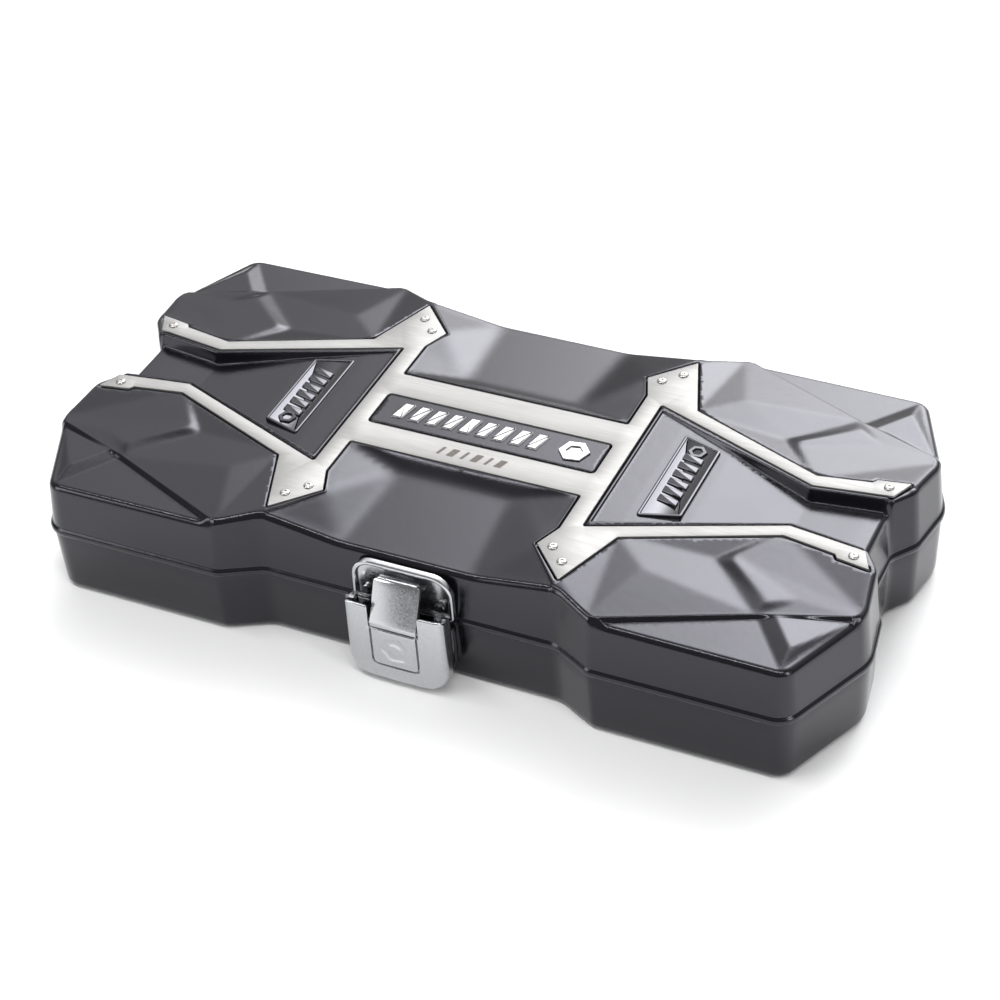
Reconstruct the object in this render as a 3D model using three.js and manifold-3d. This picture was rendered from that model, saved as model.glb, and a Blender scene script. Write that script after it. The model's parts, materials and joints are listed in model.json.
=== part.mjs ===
// Socket wrench set in a pressed-steel case: base and lid shells on a rear hinge, a riveted trim
// plate, a draw latch, and a moulded tray that holds sockets, an extension bar and a ratchet.
// Millimetres, +Z up. The origin is on the surface the case stands on, under its centre.
// The latch is on the -Y side and the hinge on the +Y side.
import * as THREE from "three";
import { mergeVertices } from "three/addons/utils/BufferGeometryUtils.js";
import Module from "manifold-3d";

// ---- driving dimensions: the case ----
const sheet = 1.0; // steel thickness of both shells
const endX = 149.2; // outermost point of an end lobe
const sideY = 75.8; // long side of a lobe
const waistY = 68.3; // long side between the lobes
const notchX = 139.5; // end wall between the lobes
const waistHalf = 52.5; // half length of the waist
const waistRamp = 14.5; // length of the slope from waist to lobe
const rimZ = 24.8; // parting line
const plateZ = 49.5; // top of the trim plate
const rimGap = 0.3; // between the two rims
const beadHeight = 2.6; // of the rolled edge of the lid
const gap = 0.3; // clearance between pieces that touch
const through = 60; // above everything: how far cutters run

// ---- driving dimensions: the trim plate ----
const plateThick = 0.8;
const barHalfWidth = 20.2;
const windowHalf = [42.3, 8.7];
const rivetSpots = [[50, 53.3], [44.3, 47.4], [135, 18.4]];
const rivetHeadR = 1.75;
const rivetHeadH = 0.75;
const rivetShankR = 0.9;

// ---- driving dimensions: hinge and latch ----
const hingeY = sideY + 0.7;
const hingeZ = rimZ;
const pinR = 1.0;
const knuckleR = 2.0;
const hingeHalf = 36;
const knuckles = 5;
const leafThick = 1.1;
const leafDrop = 13; // how far a leaf reaches along its wall
const latchHalf = 18.2; // half width of the latch
const latchReach = 10.2; // from the waist's wall to the face of the lever
const latchSideReach = 3.9; // from the waist's wall to the back of the lever's sides
const leverTopZ = 34;
const leverBottomZ = 1.2;
const leverSkin = 1.3;
const keeperTopZ = 44.2;
const keeperReach = 1.6; // from the waist's wall to the rim of the keeper plate
const slotHalf = 8.9; // slot in the lever that the tongue lies in
const tongueHalf = slotHalf - 0.5;
const tongueThick = 1.2;
const tongueTopZ = 40.8;
const latchPinR = 0.9;
const earThick = 1.8;

// ---- driving dimensions: the tools ----
const drive = 12.7; // half-inch square
const socketLength = 38;
const axisZ = 24; // height of the socket axes
const rearRow = [14, 15, 17, 18, 19, 21, 22, 24];
const frontRow = [10, 11, 12, 13];
const rearRowY = 40.5;
const frontRowY = -41;
const rowGap = 5;
const barLength = 125;
const trayTop = 19;
const trayWall = 1.4;
const toolClear = 0.6; // between a tool and its pocket
const driveClear = 1.5; // around the corners of the ratchet's square in its pocket
const headR = 19; // ratchet head
const headX = -103;
const headBottomZ = trayTop + gap;
const headTopZ = headBottomZ + 14;
const handleZ = headBottomZ + 8.5;
const gripR = 12.5;
const handleEndX = 124;

const wasm = await Module();
wasm.setup();

// ---------------------------------------------------------------- solids and meshes

function toSolid(geometry, matrix) {
  const bare = geometry.clone();
  bare.deleteAttribute("normal");
  bare.deleteAttribute("uv");
  if (matrix) bare.applyMatrix4(matrix);
  const merged = mergeVertices(bare, 1e-4);
  const solid = new wasm.Manifold(
    new wasm.Mesh({
      numProp: 3,
      vertProperties: merged.attributes.position.array,
      triVerts: new Uint32Array(merged.index.array),
    }),
  );
  return solid;
}

function toGeometry(solid) {
  const mesh = solid.getMesh();
  return new THREE.BufferGeometry()
    .setAttribute("position", new THREE.BufferAttribute(mesh.vertProperties, 3))
    .setIndex(new THREE.BufferAttribute(mesh.triVerts, 1));
}

// Closed solid through rings of equal length, each ring a list of [x, y, z]. The two end rings are
// capped as flat polygons seen along the axis that plane leaves out: [0, 1] for rings in plan.
function loft(rings, plane = [0, 1]) {
  const n = rings[0].length;
  const positions = rings.flat(2);
  const index = [];
  for (let r = 0; r + 1 < rings.length; r++) {
    for (let i = 0; i < n; i++) {
      const j = (i + 1) % n;
      const [a, b, c, d] = [r * n + i, r * n + j, (r + 1) * n + j, (r + 1) * n + i];
      index.push(a, b, c, a, c, d);
    }
  }
  const flat = (ring) => ring.map((p) => new THREE.Vector2(p[plane[0]], p[plane[1]]));
  const last = (rings.length - 1) * n;
  const turned = THREE.ShapeUtils.isClockWise(flat(rings[0]));
  for (const [a, b, c] of THREE.ShapeUtils.triangulateShape(flat(rings[0]), [])) {
    index.push(...(turned ? [a, b, c] : [a, c, b]));
  }
  for (const [a, b, c] of THREE.ShapeUtils.triangulateShape(flat(rings.at(-1)), [])) {
    index.push(...(turned ? [last + a, last + c, last + b] : [last + a, last + b, last + c]));
  }
  return closedSolid(positions, index);
}

function closedSolid(positions, index) {
  const geometry = new THREE.BufferGeometry();
  geometry.setAttribute("position", new THREE.Float32BufferAttribute(positions, 3));
  let volume = 0;
  const p = (i) => new THREE.Vector3(...positions.slice(3 * i, 3 * i + 3));
  for (let i = 0; i < index.length; i += 3) {
    volume += p(index[i]).dot(p(index[i + 1]).cross(p(index[i + 2])));
  }
  if (volume < 0) index.reverse();
  geometry.setIndex(index);
  return toSolid(geometry);
}

const box = (x0, x1, y0, y1, z0, z1) =>
  toSolid(
    new THREE.BoxGeometry(x1 - x0, y1 - y0, z1 - z0),
    new THREE.Matrix4().makeTranslation((x0 + x1) / 2, (y0 + y1) / 2, (z0 + z1) / 2),
  );

// Cylinder between two points on a line along "x", "y" or "z".
function rod(axis, radius, from, to, at, sides = 16, radiusTo = radius) {
  const geometry = new THREE.CylinderGeometry(radiusTo, radius, Math.abs(to - from), sides);
  if (axis === "x") geometry.rotateZ(-Math.PI / 2);
  if (axis === "z") geometry.rotateX(Math.PI / 2);
  const middle = (from + to) / 2;
  const place = { x: [middle, at[0], at[1]], y: [at[0], middle, at[1]], z: [at[0], at[1], middle] };
  return toSolid(geometry.translate(...place[axis]));
}

const join = (...solids) => solids.reduce((all, s) => all.add(s));

// Extrusion of a plan outline, with holes, between two heights.
function slab(outline, z0, z1, holes = []) {
  const shape = new THREE.Shape(outline.map(([x, y]) => new THREE.Vector2(x, y)));
  for (const hole of holes) shape.holes.push(new THREE.Path(hole.map(([x, y]) => new THREE.Vector2(x, y))));
  const geometry = new THREE.ExtrudeGeometry(shape, { depth: z1 - z0, bevelEnabled: false });
  return toSolid(geometry.translate(0, 0, z0));
}

// ---------------------------------------------------------------- outlines

// Corners of one quadrant, from the +X axis round to the +Y axis, repeated in all four.
function allQuadrants(corners) {
  const mirror = (sx, sy) => corners.map(([x, y, ...rest]) => [sx * x, sy * y, ...rest]);
  return [
    ...corners,
    ...mirror(-1, 1).reverse(),
    ...mirror(-1, -1),
    ...mirror(1, -1).reverse(),
  ];
}

// Moves each edge of a counterclockwise outline inwards by inset, keeping the corners' order.
function insetOutline(corners, inset) {
  const n = corners.length;
  return corners.map((corner, i) => {
    const [ax, ay] = corners[(i + n - 1) % n];
    const [bx, by] = corner;
    const [cx, cy] = corners[(i + 1) % n];
    const u = new THREE.Vector2(bx - ax, by - ay).normalize();
    const v = new THREE.Vector2(cx - bx, cy - by).normalize();
    const spread = 1 + u.dot(v);
    const nx = (-u.y - v.y) / spread;
    const ny = (u.x + v.x) / spread;
    return [bx + nx * inset, by + ny * inset, ...corner.slice(2)];
  });
}

// Replaces each corner [x, y, radius, ...] by an arc of steps + 1 points that keep its other values.
function roundOutline(corners, steps, radiusOf = (corner) => corner[2]) {
  const n = corners.length;
  return corners.flatMap((corner, i) => {
    const here = new THREE.Vector2(corner[0], corner[1]);
    const before = new THREE.Vector2(...corners[(i + n - 1) % n]).sub(here).normalize();
    const after = new THREE.Vector2(...corners[(i + 1) % n]).sub(here).normalize();
    const half = Math.acos(THREE.MathUtils.clamp(before.dot(after), -1, 1)) / 2;
    const turn = before.x * after.y - before.y * after.x; // negative where the corner is convex
    const radius = radiusOf(corner, turn < 0);
    const centre = before.clone().add(after).normalize().multiplyScalar(radius / Math.sin(half)).add(here);
    const start = before.multiplyScalar(radius / Math.tan(half)).add(here).sub(centre);
    const sweep = (Math.PI - 2 * half) * (turn < 0 ? 1 : -1);
    return Array.from({ length: steps + 1 }, (_, k) => {
      const arm = start.clone().rotateAround(new THREE.Vector2(), (sweep * k) / steps);
      return [centre.x + arm.x, centre.y + arm.y, ...corner.slice(2)];
    });
  });
}

// The rim: corner x, y, radius and the height of the lid's top edge there.
const plateau = plateZ + 0.2;
const rimCorners = allQuadrants([
  [notchX, 10.5, 6, plateau],
  [endX - 3.2, 19.5, 10, plateau - 0.3],
  [endX, 40, 16, plateau - 2.6],
  [endX - 15.9, sideY, 9, plateau - 3],
  [waistHalf + waistRamp, sideY, 7, plateau - 2.8],
  [waistHalf, waistY, 9, plateau],
]);

// Ring at an inset from the rim. heightOf gets the lid's top edge height at each point.
function rimRing(inset, heightOf) {
  const radiusOf = (corner, convex) => Math.max(corner[2] + (convex ? -inset : inset), 0.5);
  return roundOutline(insetOutline(rimCorners, inset), 3, radiusOf).map(([x, y, , top]) => [
    x,
    y,
    heightOf(top),
  ]);
}

// ---------------------------------------------------------------- cutters shared by shell and cavity

// Each takes grow, which is 0 for the outside and the sheet thickness for the inside.
const flip = (points, sx, sy) => points.map(([x, y, z]) => [sx * x, sy * y, z]);

// The valley that runs from the middle bar out to each end notch: x, half width, floor height.
function channel(side, grow) {
  const sections = [
    [52, 33, plateau + 0.1],
    [111, 10.5, plateZ - 5],
    [131, 13, plateZ - 5.4],
    [notchX + 12, 15.6, plateZ - 9],
  ];
  const rings = sections.map(([x, half, floor]) => {
    const w = half + grow;
    const z = floor - grow;
    return [[side * x, -w, z], [side * x, w, z], [side * x, w, through], [side * x, -w, through]];
  });
  return loft(rings, [1, 2]);
}

// The lowered outer triangle of a lobe, outside the crease.
function lobeStep(sx, sy, grow) {
  const g = [-0.38 * grow, -0.92 * grow];
  const plan = [
    [66, 72.6, plateZ - 4.6],
    [115, 52.3, plateZ - 3.8],
    [147, 41.5, plateZ - 3.9],
    [165, 60, plateZ - 4.8],
    [140, 95, plateZ - 4.8],
    [66, 95, plateZ - 4.8],
  ].map(([x, y, z]) => [x + g[0], y + g[1], z - grow]);
  return loft([flip(plan, sx, sy), flip(plan.map(([x, y]) => [x, y, through]), sx, sy)]);
}

// The scooped middle of each long side.
function scoop(sy, grow) {
  const [high, low] = [plateZ - 2.5, plateZ - 4.8];
  const floor = [[-21, 27.5, high], [21, 27.5, high], [25, 72, low], [-25, 72, low]];
  const mouth = [[-37, 22, plateau], [37, 22, plateau], [54, 72, plateau], [-54, 72, plateau]];
  const spread = ([x, y, z]) => [x + Math.sign(x) * grow, y < 50 ? y - grow : y, z - grow];
  const wide = mouth.map(spread);
  const rings = [floor.map(spread), wide, wide.map(([x, y]) => [x, y, through])];
  return loft(rings.map((ring) => flip(ring, 1, sy)));
}

const cornersOf = (grow) => [1, -1].flatMap((sx) => [1, -1].map((sy) => lobeStep(sx, sy, grow)));
const reliefs = (grow) =>
  join(channel(1, grow), channel(-1, grow), scoop(1, grow), scoop(-1, grow), ...cornersOf(grow));

// ---------------------------------------------------------------- trim plate

const plateOutline = allQuadrants([
  [49, 34.9, 1.5],
  [111.3, 11.1, 1],
  [137.7, 14.7, 0.6],
  [141.4, 22.8, 0.3],
  [130.3, 20.9, 0.3],
  [129.2, 19.2, 0.3],
  [111, 16.2, 1],
  [61.8, 35.7, 0.6],
  [52.2, 61.6, 0.3],
  [38.9, 47.6, 0.3],
  [42.7, 38, 0.6],
  [42.7, barHalfWidth, 1.2],
]);
const windowOutline = (inset) => {
  const [x, y] = [windowHalf[0] - inset, windowHalf[1] - inset];
  return roundOutline([[x, -y, 1.8], [x, y, 1.8], [-x, y, 1.8], [-x, -y, 1.8]], 2);
};
const everySide = (sx) => [1, -1].flatMap((sy) => rivetSpots.map(([x, y]) => [sx * x, sy * y]));
const rivetPlaces = [1, -1].flatMap(everySide);
const rivetHole = (place) => rod("z", rivetShankR + gap, plateZ - 6, plateZ + 2, place, 8);
const rivetHoles = join(...rivetPlaces.map(rivetHole));

function trimPlate() {
  const body = slab(roundOutline(plateOutline, 1), plateZ - plateThick, plateZ, [windowOutline(0).reverse()]);
  return body.subtract(rivetHoles);
}

// Recess that the plate lies in. The window's panel stays standing.
function plateRecess(grow) {
  const room = gap + grow;
  const radiusOf = (corner, convex) => Math.max(corner[2] + (convex ? room : -room), 0.1);
  const outer = roundOutline(insetOutline(plateOutline, -room), 1, radiusOf);
  return slab(outer, plateZ - plateThick - gap - grow, through, [windowOutline(gap + grow).reverse()]);
}

// ---------------------------------------------------------------- lid

// Top of the lid between its edge ring and the flat that carries the plate.
function lidBlock(grow) {
  const rings = [
    rimRing(0.7 + grow, () => (grow ? rimZ - 4 : rimZ + rimGap / 2)),
    rimRing(2 + grow, (top) => top - 2.4 - grow),
    rimRing(4.4 + grow, (top) => top - grow),
  ];
  const flat = allQuadrants([[133.8, 9.4], [139.4, 22.4], [111, 18], [62.5, 37], [52.2, 61]]);
  const inner = flat.map(([x, y]) => [x - Math.sign(x) * grow, y - Math.sign(y) * grow, plateau - grow]);
  const n = rings[0].length;
  const positions = [...rings, inner].flat(2);
  const index = [];
  for (let r = 0; r < 2; r++) {
    for (let i = 0; i < n; i++) {
      const j = (i + 1) % n;
      index.push(r * n + i, r * n + j, (r + 1) * n + j, r * n + i, (r + 1) * n + j, (r + 1) * n + i);
    }
  }
  const flatOf = (ring) => ring.map((p) => new THREE.Vector2(p[0], p[1]));
  const filled = (ring, holes) => THREE.ShapeUtils.triangulateShape(ring, holes);
  for (const [a, b, c] of filled(flatOf(rings[0]), [])) index.push(a, c, b);
  const hole = flatOf(inner);
  for (const [a, b, c] of filled(flatOf(rings[2]), [hole])) index.push(2 * n + a, 2 * n + b, 2 * n + c);
  for (const [a, b, c] of filled(hole, [])) index.push(3 * n + a, 3 * n + b, 3 * n + c);
  return closedSolid(positions, index);
}

// Rolled bead around the lid's lower edge.
const bead = () =>
  loft([
    rimRing(0.3, () => rimZ + rimGap / 2),
    rimRing(0, () => rimZ + rimGap / 2 + 0.5),
    rimRing(0, () => rimZ + beadHeight - 0.8),
    rimRing(0.8, () => rimZ + beadHeight),
  ]);

function lidShell() {
  const outside = lidBlock(0).add(bead()).subtract(reliefs(0)).subtract(plateRecess(0));
  const inside = lidBlock(sheet).subtract(reliefs(sheet)).subtract(plateRecess(sheet));
  const holes = join(rivetHoles, hingeRivetHoles, wallHoles(-1, keeperRivets));
  return outside.subtract(inside).subtract(holes);
}

function rivet(x, y) {
  const dome = rod("z", rivetHeadR, plateZ + gap / 2, plateZ + rivetHeadH, [x, y], 12, rivetHeadR * 0.6);
  return dome.add(rod("z", rivetShankR, plateZ - plateThick - sheet - gap - 0.6, plateZ + 0.4, [x, y], 8));
}

// ---------------------------------------------------------------- base

const baseTopZ = rimZ - rimGap / 2;
const baseBlock = (grow, from, to) =>
  loft([
    rimRing(4.2 + grow, () => from),
    rimRing(1.9 + grow, () => from + 2.4),
    rimRing(1.0 + grow, () => to),
  ]);

function baseShell() {
  const outside = baseBlock(0, 0, baseTopZ);
  const inside = baseBlock(sheet, sheet, baseTopZ + 3);
  return outside.subtract(inside).subtract(hingeRivetHoles).subtract(wallHoles(-1, catchRivets));
}

// Walls that plates and leaves are fitted against: both shells, solid and a little larger.
const walls = join(lidBlock(-gap), baseBlock(-gap, 0, baseTopZ), loft([
  rimRing(-gap, () => rimZ),
  rimRing(-gap, () => rimZ + beadHeight + gap),
]));

// ---------------------------------------------------------------- hinge

const span = (a, b) => [Math.min(a, b), Math.max(a, b)];

// Knuckles take turns along the pin: the base has the odd ones, the lid the even ones.
const knuckleLength = (2 * hingeHalf) / knuckles;
const leafFaceY = waistY + leafThick - 0.2;
const hingeRivetSpots = [-24, 24].flatMap((x) => [hingeZ + 8.2, hingeZ - 8.2].map((z) => [x, z]));

function hingeLeaf(isLid) {
  const up = isLid ? 1 : -1;
  const webZ = span(hingeZ + up * 0.9, hingeZ + up * (0.9 + leafThick));
  const tabZ = span(hingeZ + up * 0.9, hingeZ + up * leafDrop);
  const tab = box(-hingeHalf, hingeHalf, waistY - 5, leafFaceY, ...tabZ);
  const web = box(-hingeHalf, hingeHalf, waistY - 2, hingeY, ...webZ);
  const barrel = rod("x", knuckleR, -hingeHalf, hingeHalf, [hingeY, hingeZ], 16);
  let leaf = join(tab, web, barrel).subtract(walls);
  for (let k = 0; k < knuckles; k++) {
    if ((k % 2 === 1) === isLid) continue;
    const room = k > 0 && k < knuckles - 1 ? gap / 2 : 2;
    const x0 = -hingeHalf + k * knuckleLength - (k > 0 ? gap / 2 : room);
    const x1 = -hingeHalf + (k + 1) * knuckleLength + (k < knuckles - 1 ? gap / 2 : room);
    const back = hingeY - knuckleR - gap;
    leaf = leaf.subtract(box(x0, x1, back, hingeY + knuckleR + 1, hingeZ - 4, hingeZ + 4));
  }
  const eye = rod("x", pinR + gap, -hingeHalf - 1, hingeHalf + 1, [hingeY, hingeZ], 12);
  return leaf.subtract(eye).subtract(hingeRivetHoles);
}

// Hole through a wall and the leaf or plate on it, and the rivet in it, whose head lies outside.
const wallHole = (side, spot) =>
  rod("y", rivetShankR + gap, side * (waistY - 6), side * (waistY + 4), spot, 8);
const wallHoles = (side, spots) => join(...spots.map((spot) => wallHole(side, spot)));

function wallRivet(side, [x, z], faceY) {
  const out = side * Math.abs(faceY);
  const head = rod("y", rivetHeadR, out + (side * gap) / 2, out + side * (gap / 2 + rivetHeadH), [x, z], 12);
  return head.add(rod("y", rivetShankR, side * (waistY - 2.9), out + side * 0.5, [x, z], 8));
}

const hingeRivetHoles = wallHoles(1, hingeRivetSpots);

// ---------------------------------------------------------------- latch

// Outline in the X-Z plane, extruded along Y from y0 to y1.
function facePlate(outline, y0, y1) {
  const shape = new THREE.Shape(outline.map(([x, z]) => new THREE.Vector2(x, z)));
  const geometry = new THREE.ExtrudeGeometry(shape, { depth: y1 - y0, bevelEnabled: false });
  return toSolid(geometry.rotateX(Math.PI / 2).translate(0, y1, 0));
}

// Outline in the Y-Z plane, extruded along X between x0 and x1.
const sideProfile = (outline, x0, x1) =>
  loft([x0, x1].map((x) => outline.map(([y, z]) => [x, y, z])), [1, 2]);

const latchFaceY = -waistY - latchReach;
const leverBackY = -waistY - latchSideReach;
const keeperFaceY = -waistY - keeperReach;
const catchFaceY = keeperFaceY + 0.8;
const keeperBottomZ = rimZ + 2.2;
const catchTopZ = rimZ - 1.8;
const barrelR = latchPinR + 0.6;
const linkPin = { y: latchFaceY + barrelR, z: 25.6 }; // tongue turns here on the lever
const pivot = { y: latchFaceY + 3.9, z: leverTopZ - 2.6 }; // lever turns here on the ears
const earOuter = latchHalf - leverSkin - 0.5;
const keeperRivets = [[-13, 31.5], [13, 31.5]];
const catchRivets = [[-11.5, 10], [11.5, 10]];
const mirrored = (solidOf) => join(solidOf(-1), solidOf(1));

function keeperPlate() {
  const plate = facePlate(roundOutline([
    [-latchHalf, keeperBottomZ, 0.6],
    [latchHalf, keeperBottomZ, 0.6],
    [latchHalf, keeperTopZ, 7],
    [-latchHalf, keeperTopZ, 7],
  ], 3), keeperFaceY, -waistY + 6);
  const rim = 2;
  const dish = facePlate(roundOutline([
    [rim - latchHalf, keeperBottomZ - 2, 0.5],
    [latchHalf - rim, keeperBottomZ - 2, 0.5],
    [latchHalf - rim, keeperTopZ - rim, 5],
    [rim - latchHalf, keeperTopZ - rim, 5],
  ], 3), keeperFaceY - 1, keeperFaceY + 1);
  const lip = box(-tongueHalf, tongueHalf, keeperFaceY, keeperFaceY + 1.4, tongueTopZ - 4, tongueTopZ - 2.4);
  return plate.subtract(dish).add(lip).subtract(walls).subtract(wallHoles(-1, keeperRivets));
}

function catchPlate() {
  const half = latchHalf - 1.2;
  const plate = facePlate(
    roundOutline([[-half, 5, 3], [half, 5, 3], [half, catchTopZ, 0.6], [-half, catchTopZ, 0.6]], 3),
    catchFaceY, -waistY + 6);
  const [front, back] = [pivot.y - 1.7, pivot.y + 1.7];
  const ear = [
    [catchFaceY + 0.5, 12], [catchFaceY - 3.2, 14], [front, pivot.z - 4], [front, pivot.z + 1.6],
    [back, pivot.z + 1.6], [back, pivot.z - 2], [catchFaceY - 2.2, catchTopZ], [catchFaceY + 0.5, catchTopZ]];
  const ears = mirrored((s) => sideProfile(ear, ...span(s * (earOuter - earThick), s * earOuter)));
  const pinHole = rod("x", latchPinR + gap, -latchHalf, latchHalf, [pivot.y, pivot.z], 10);
  return plate.add(ears).subtract(walls).subtract(pinHole).subtract(wallHoles(-1, catchRivets));
}

function pivotPin(side) {
  const [x0, x1] = span(side * (earOuter - earThick - 0.4), side * (latchHalf - 0.2));
  return rod("x", latchPinR, x0, x1, [pivot.y, pivot.z], 10);
}

function latchTongue() {
  const hookBack = keeperFaceY - gap - 0.1;
  const foldY = hookBack - 2.4;
  const top = tongueTopZ;
  const strip = [
    [linkPin.y, linkPin.z - barrelR],
    [latchFaceY + 0.2, linkPin.z - 1],
    [latchFaceY, linkPin.z],
    [foldY, top - 0.7],
    [foldY + 0.7, top],
    [hookBack, top],
    [hookBack, top - tongueThick],
    [foldY + tongueThick, top - tongueThick],
    [linkPin.y + barrelR - 0.3, linkPin.z + 1],
    [linkPin.y + barrelR, linkPin.z],
    [linkPin.y + 1, linkPin.z - 1],
  ];
  return sideProfile(strip, -tongueHalf, tongueHalf)
    .subtract(rod("x", latchPinR + gap, -20, 20, [linkPin.y, linkPin.z], 10));
}

function latchLever() {
  const corners = [
    [-latchHalf, leverBottomZ, 9],
    [latchHalf, leverBottomZ, 9],
    [latchHalf, leverTopZ, 1.5],
    [-latchHalf, leverTopZ, 1.5],
  ];
  const ring = (inset, y) =>
    roundOutline(insetOutline(corners, inset), 4, (corner) => Math.max(corner[2] - inset, 0.3))
      .map(([x, z]) => [x, y, z]);
  const cup = loft([ring(1.6, latchFaceY), ring(0.3, latchFaceY + 1.2), ring(0, leverBackY)], [0, 2]);
  const inner = latchFaceY + leverSkin;
  const innerFloor = ring(1.6 + leverSkin, inner);
  const innerRings = [innerFloor, ring(leverSkin, inner + 0.9), ring(leverSkin, leverBackY + 1)];
  const hollow = loft(innerRings, [0, 2]);
  const slotBottom = linkPin.z - barrelR - gap;
  const slot = box(-slotHalf, slotHalf, latchFaceY - 2, inner + 0.4, slotBottom, through);
  const inside = latchHalf - leverSkin;
  const openTop = box(-inside, inside, inner, leverBackY + 2, leverTopZ - 4, through);
  const lugs = mirrored((s) => {
    const across = span(s * (slotHalf + 0.1), s * (slotHalf + 1.9));
    return box(...across, latchFaceY + 0.8, linkPin.y + barrelR, linkPin.z - 2, linkPin.z + 2);
  });
  const linkHole = rod("x", latchPinR + gap, -slotHalf - 4, slotHalf + 4, [linkPin.y, linkPin.z], 10);
  const pivotHole = rod("x", latchPinR + gap, -latchHalf - 1, latchHalf + 1, [pivot.y, pivot.z], 10);
  const shell = cup.subtract(hollow).subtract(slot).subtract(openTop);
  return join(shell, lugs).subtract(linkHole).subtract(pivotHole);
}

// ---------------------------------------------------------------- tray and tools

const nutEnd = (size) => size * 1.25 + 3.5;
const driveEnd = (size) => Math.max(24, Math.min(nutEnd(size), 30));
const socketWidth = (size) => Math.max(nutEnd(size), driveEnd(size));

// Centres along X of a row of sockets that starts at x0.
function rowPlaces(sizes, x0, y) {
  let edge = x0;
  return sizes.map((size) => {
    const x = edge + socketWidth(size) / 2;
    edge += socketWidth(size) + rowGap;
    return { size, x, y };
  });
}
const rowLength = (sizes) => sizes.reduce((sum, s) => sum + socketWidth(s) + rowGap, -rowGap);
const sockets = [
  ...rowPlaces(frontRow, -132, frontRowY),
  ...rowPlaces(rearRow, -rowLength(rearRow) / 2, rearRowY),
];

// The nut end faces -Y. Built along Z with the nut end up, then laid down.
function socket({ size, x, y }) {
  const [rn, rd] = [nutEnd(size) / 2, driveEnd(size) / 2];
  const half = socketLength / 2;
  const shoulder = -half + 16;
  const profile = [
    [0, -half],
    [rd - 1, -half],
    [rd, -half + 1],
    [rd, shoulder],
    [rn, shoulder + 3],
    [rn, half - 1.2],
    [rn - 1, half],
    [0, half],
  ];
  const body = new THREE.LatheGeometry(profile.map(([r, z]) => new THREE.Vector2(r, z)), 20);
  const across = size / Math.cos(Math.PI / 6) / 2;
  const depth = Math.min(size * 0.75 + 3, 18);
  const hex = new THREE.CylinderGeometry(across, across, depth, 6).translate(0, half - depth / 2 + 0.01, 0);
  const square = new THREE.BoxGeometry(drive, 17, drive).translate(0, -half + 8, 0);
  const bore = new THREE.CylinderGeometry(4.4, 4.4, socketLength, 10);
  const lay = new THREE.Matrix4().makeRotationX(Math.PI).setPosition(x, y, axisZ);
  const holes = join(toSolid(hex, lay), toSolid(square, lay), toSolid(bore, lay));
  return toSolid(body, lay).subtract(holes);
}

const barX = -6; // female end of the extension bar
const barEndR = 12;
const barShankR = 7.4;

function extensionBar() {
  const at = [frontRowY, axisZ];
  const end = barX + barLength;
  const across = (half) => [at[0] - half, at[0] + half, axisZ - half, axisZ + half];
  const body = join(
    rod("x", barEndR, barX, barX + 24, at, 20),
    rod("x", barEndR, barX + 23.9, barX + 31, at, 20, barShankR),
    rod("x", barShankR, barX + 30.9, end - 16, at, 16),
    box(end - 17, end, ...across(drive / 2)),
  );
  return body.subtract(box(barX - 1, barX + 16, ...across(drive / 2 + 0.15)));
}

function tray() {
  const skirt = loft([rimRing(5.8, () => 2), rimRing(3.4, () => trayTop)]);
  const under = loft([rimRing(5.8 + trayWall, () => 1), rimRing(3.4 + trayWall, () => trayTop - trayWall)]);
  const below = box(-160, 160, -90, 90, 0, trayTop);
  const troughs = (grow) => {
    const out = sockets.map(({ size, x, y }) => {
      const reach = socketLength / 2 + 0.8 + grow;
      return rod("y", socketWidth(size) / 2 + toolClear + grow, y - reach, y + reach, [x, axisZ], 20);
    });
    const bigR = barEndR + toolClear + grow;
    out.push(rod("x", bigR, barX - 0.8 - grow, barX + 32 + grow, [frontRowY, axisZ], 20));
    const barEnd = barX + barLength + 0.8 + grow;
    out.push(rod("x", drive * 0.72 + toolClear + grow, barX + 20, barEnd, [frontRowY, axisZ], 20));
    out.push(rod("x", gripR + toolClear + grow, 2 - grow, handleEndX + 1 + grow, [0, handleZ], 20));
    out.push(rod("z", drive / Math.SQRT2 + driveClear + grow, 3.6 - grow, through, [headX, 0], 20));
    return join(...out);
  };
  const shape = skirt.subtract(under).add(troughs(trayWall).intersect(below));
  return shape.subtract(troughs(0));
}

function ratchetBody() {
  const head = rod("z", headR, headBottomZ, headTopZ, [headX, 0], 28);
  const section = (x, y, low, high) => [[x, -y, low], [x, y, low], [x, y, high], [x, -y, high]];
  const wide = section(headX + 8, 12, headBottomZ + 2, headTopZ - 1.5);
  const narrow = section(headX + 34, 6.2, handleZ - 5.5, handleZ + 5.5);
  const neck = loft([wide, narrow], [1, 2]);
  const shank = rod("x", 7, headX + 30, 3, [0, handleZ], 16);
  const tang = rod("x", 5, 2, handleEndX - 20, [0, handleZ], 12);
  const bore = rod("z", 10.6, headBottomZ - 1, headTopZ - 2.4, [headX, 0], 24);
  const post = rod("z", 3.4, headTopZ - 6, headTopZ + 1, [headX, 0], 14);
  const pawlRoom = box(headX + 9.6, headX + 16.8, -5.8, 5.8, headBottomZ + 2.4, headTopZ - 2.6);
  return join(head, neck, shank, tang).subtract(bore).subtract(post).subtract(pawlRoom);
}

function ratchetGrip() {
  const [x0, x1] = [5, handleEndX];
  const body = join(
    rod("x", gripR - 2.5, x0, x0 + 6, [0, handleZ], 20, gripR),
    rod("x", gripR, x0 + 5.9, x1 - 8, [0, handleZ], 20),
    rod("x", gripR, x1 - 8.1, x1, [0, handleZ], 20, gripR - 3));
  return body.subtract(rod("x", 5 + gap, x0 - 1, handleEndX - 19.4, [0, handleZ], 12));
}

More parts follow.
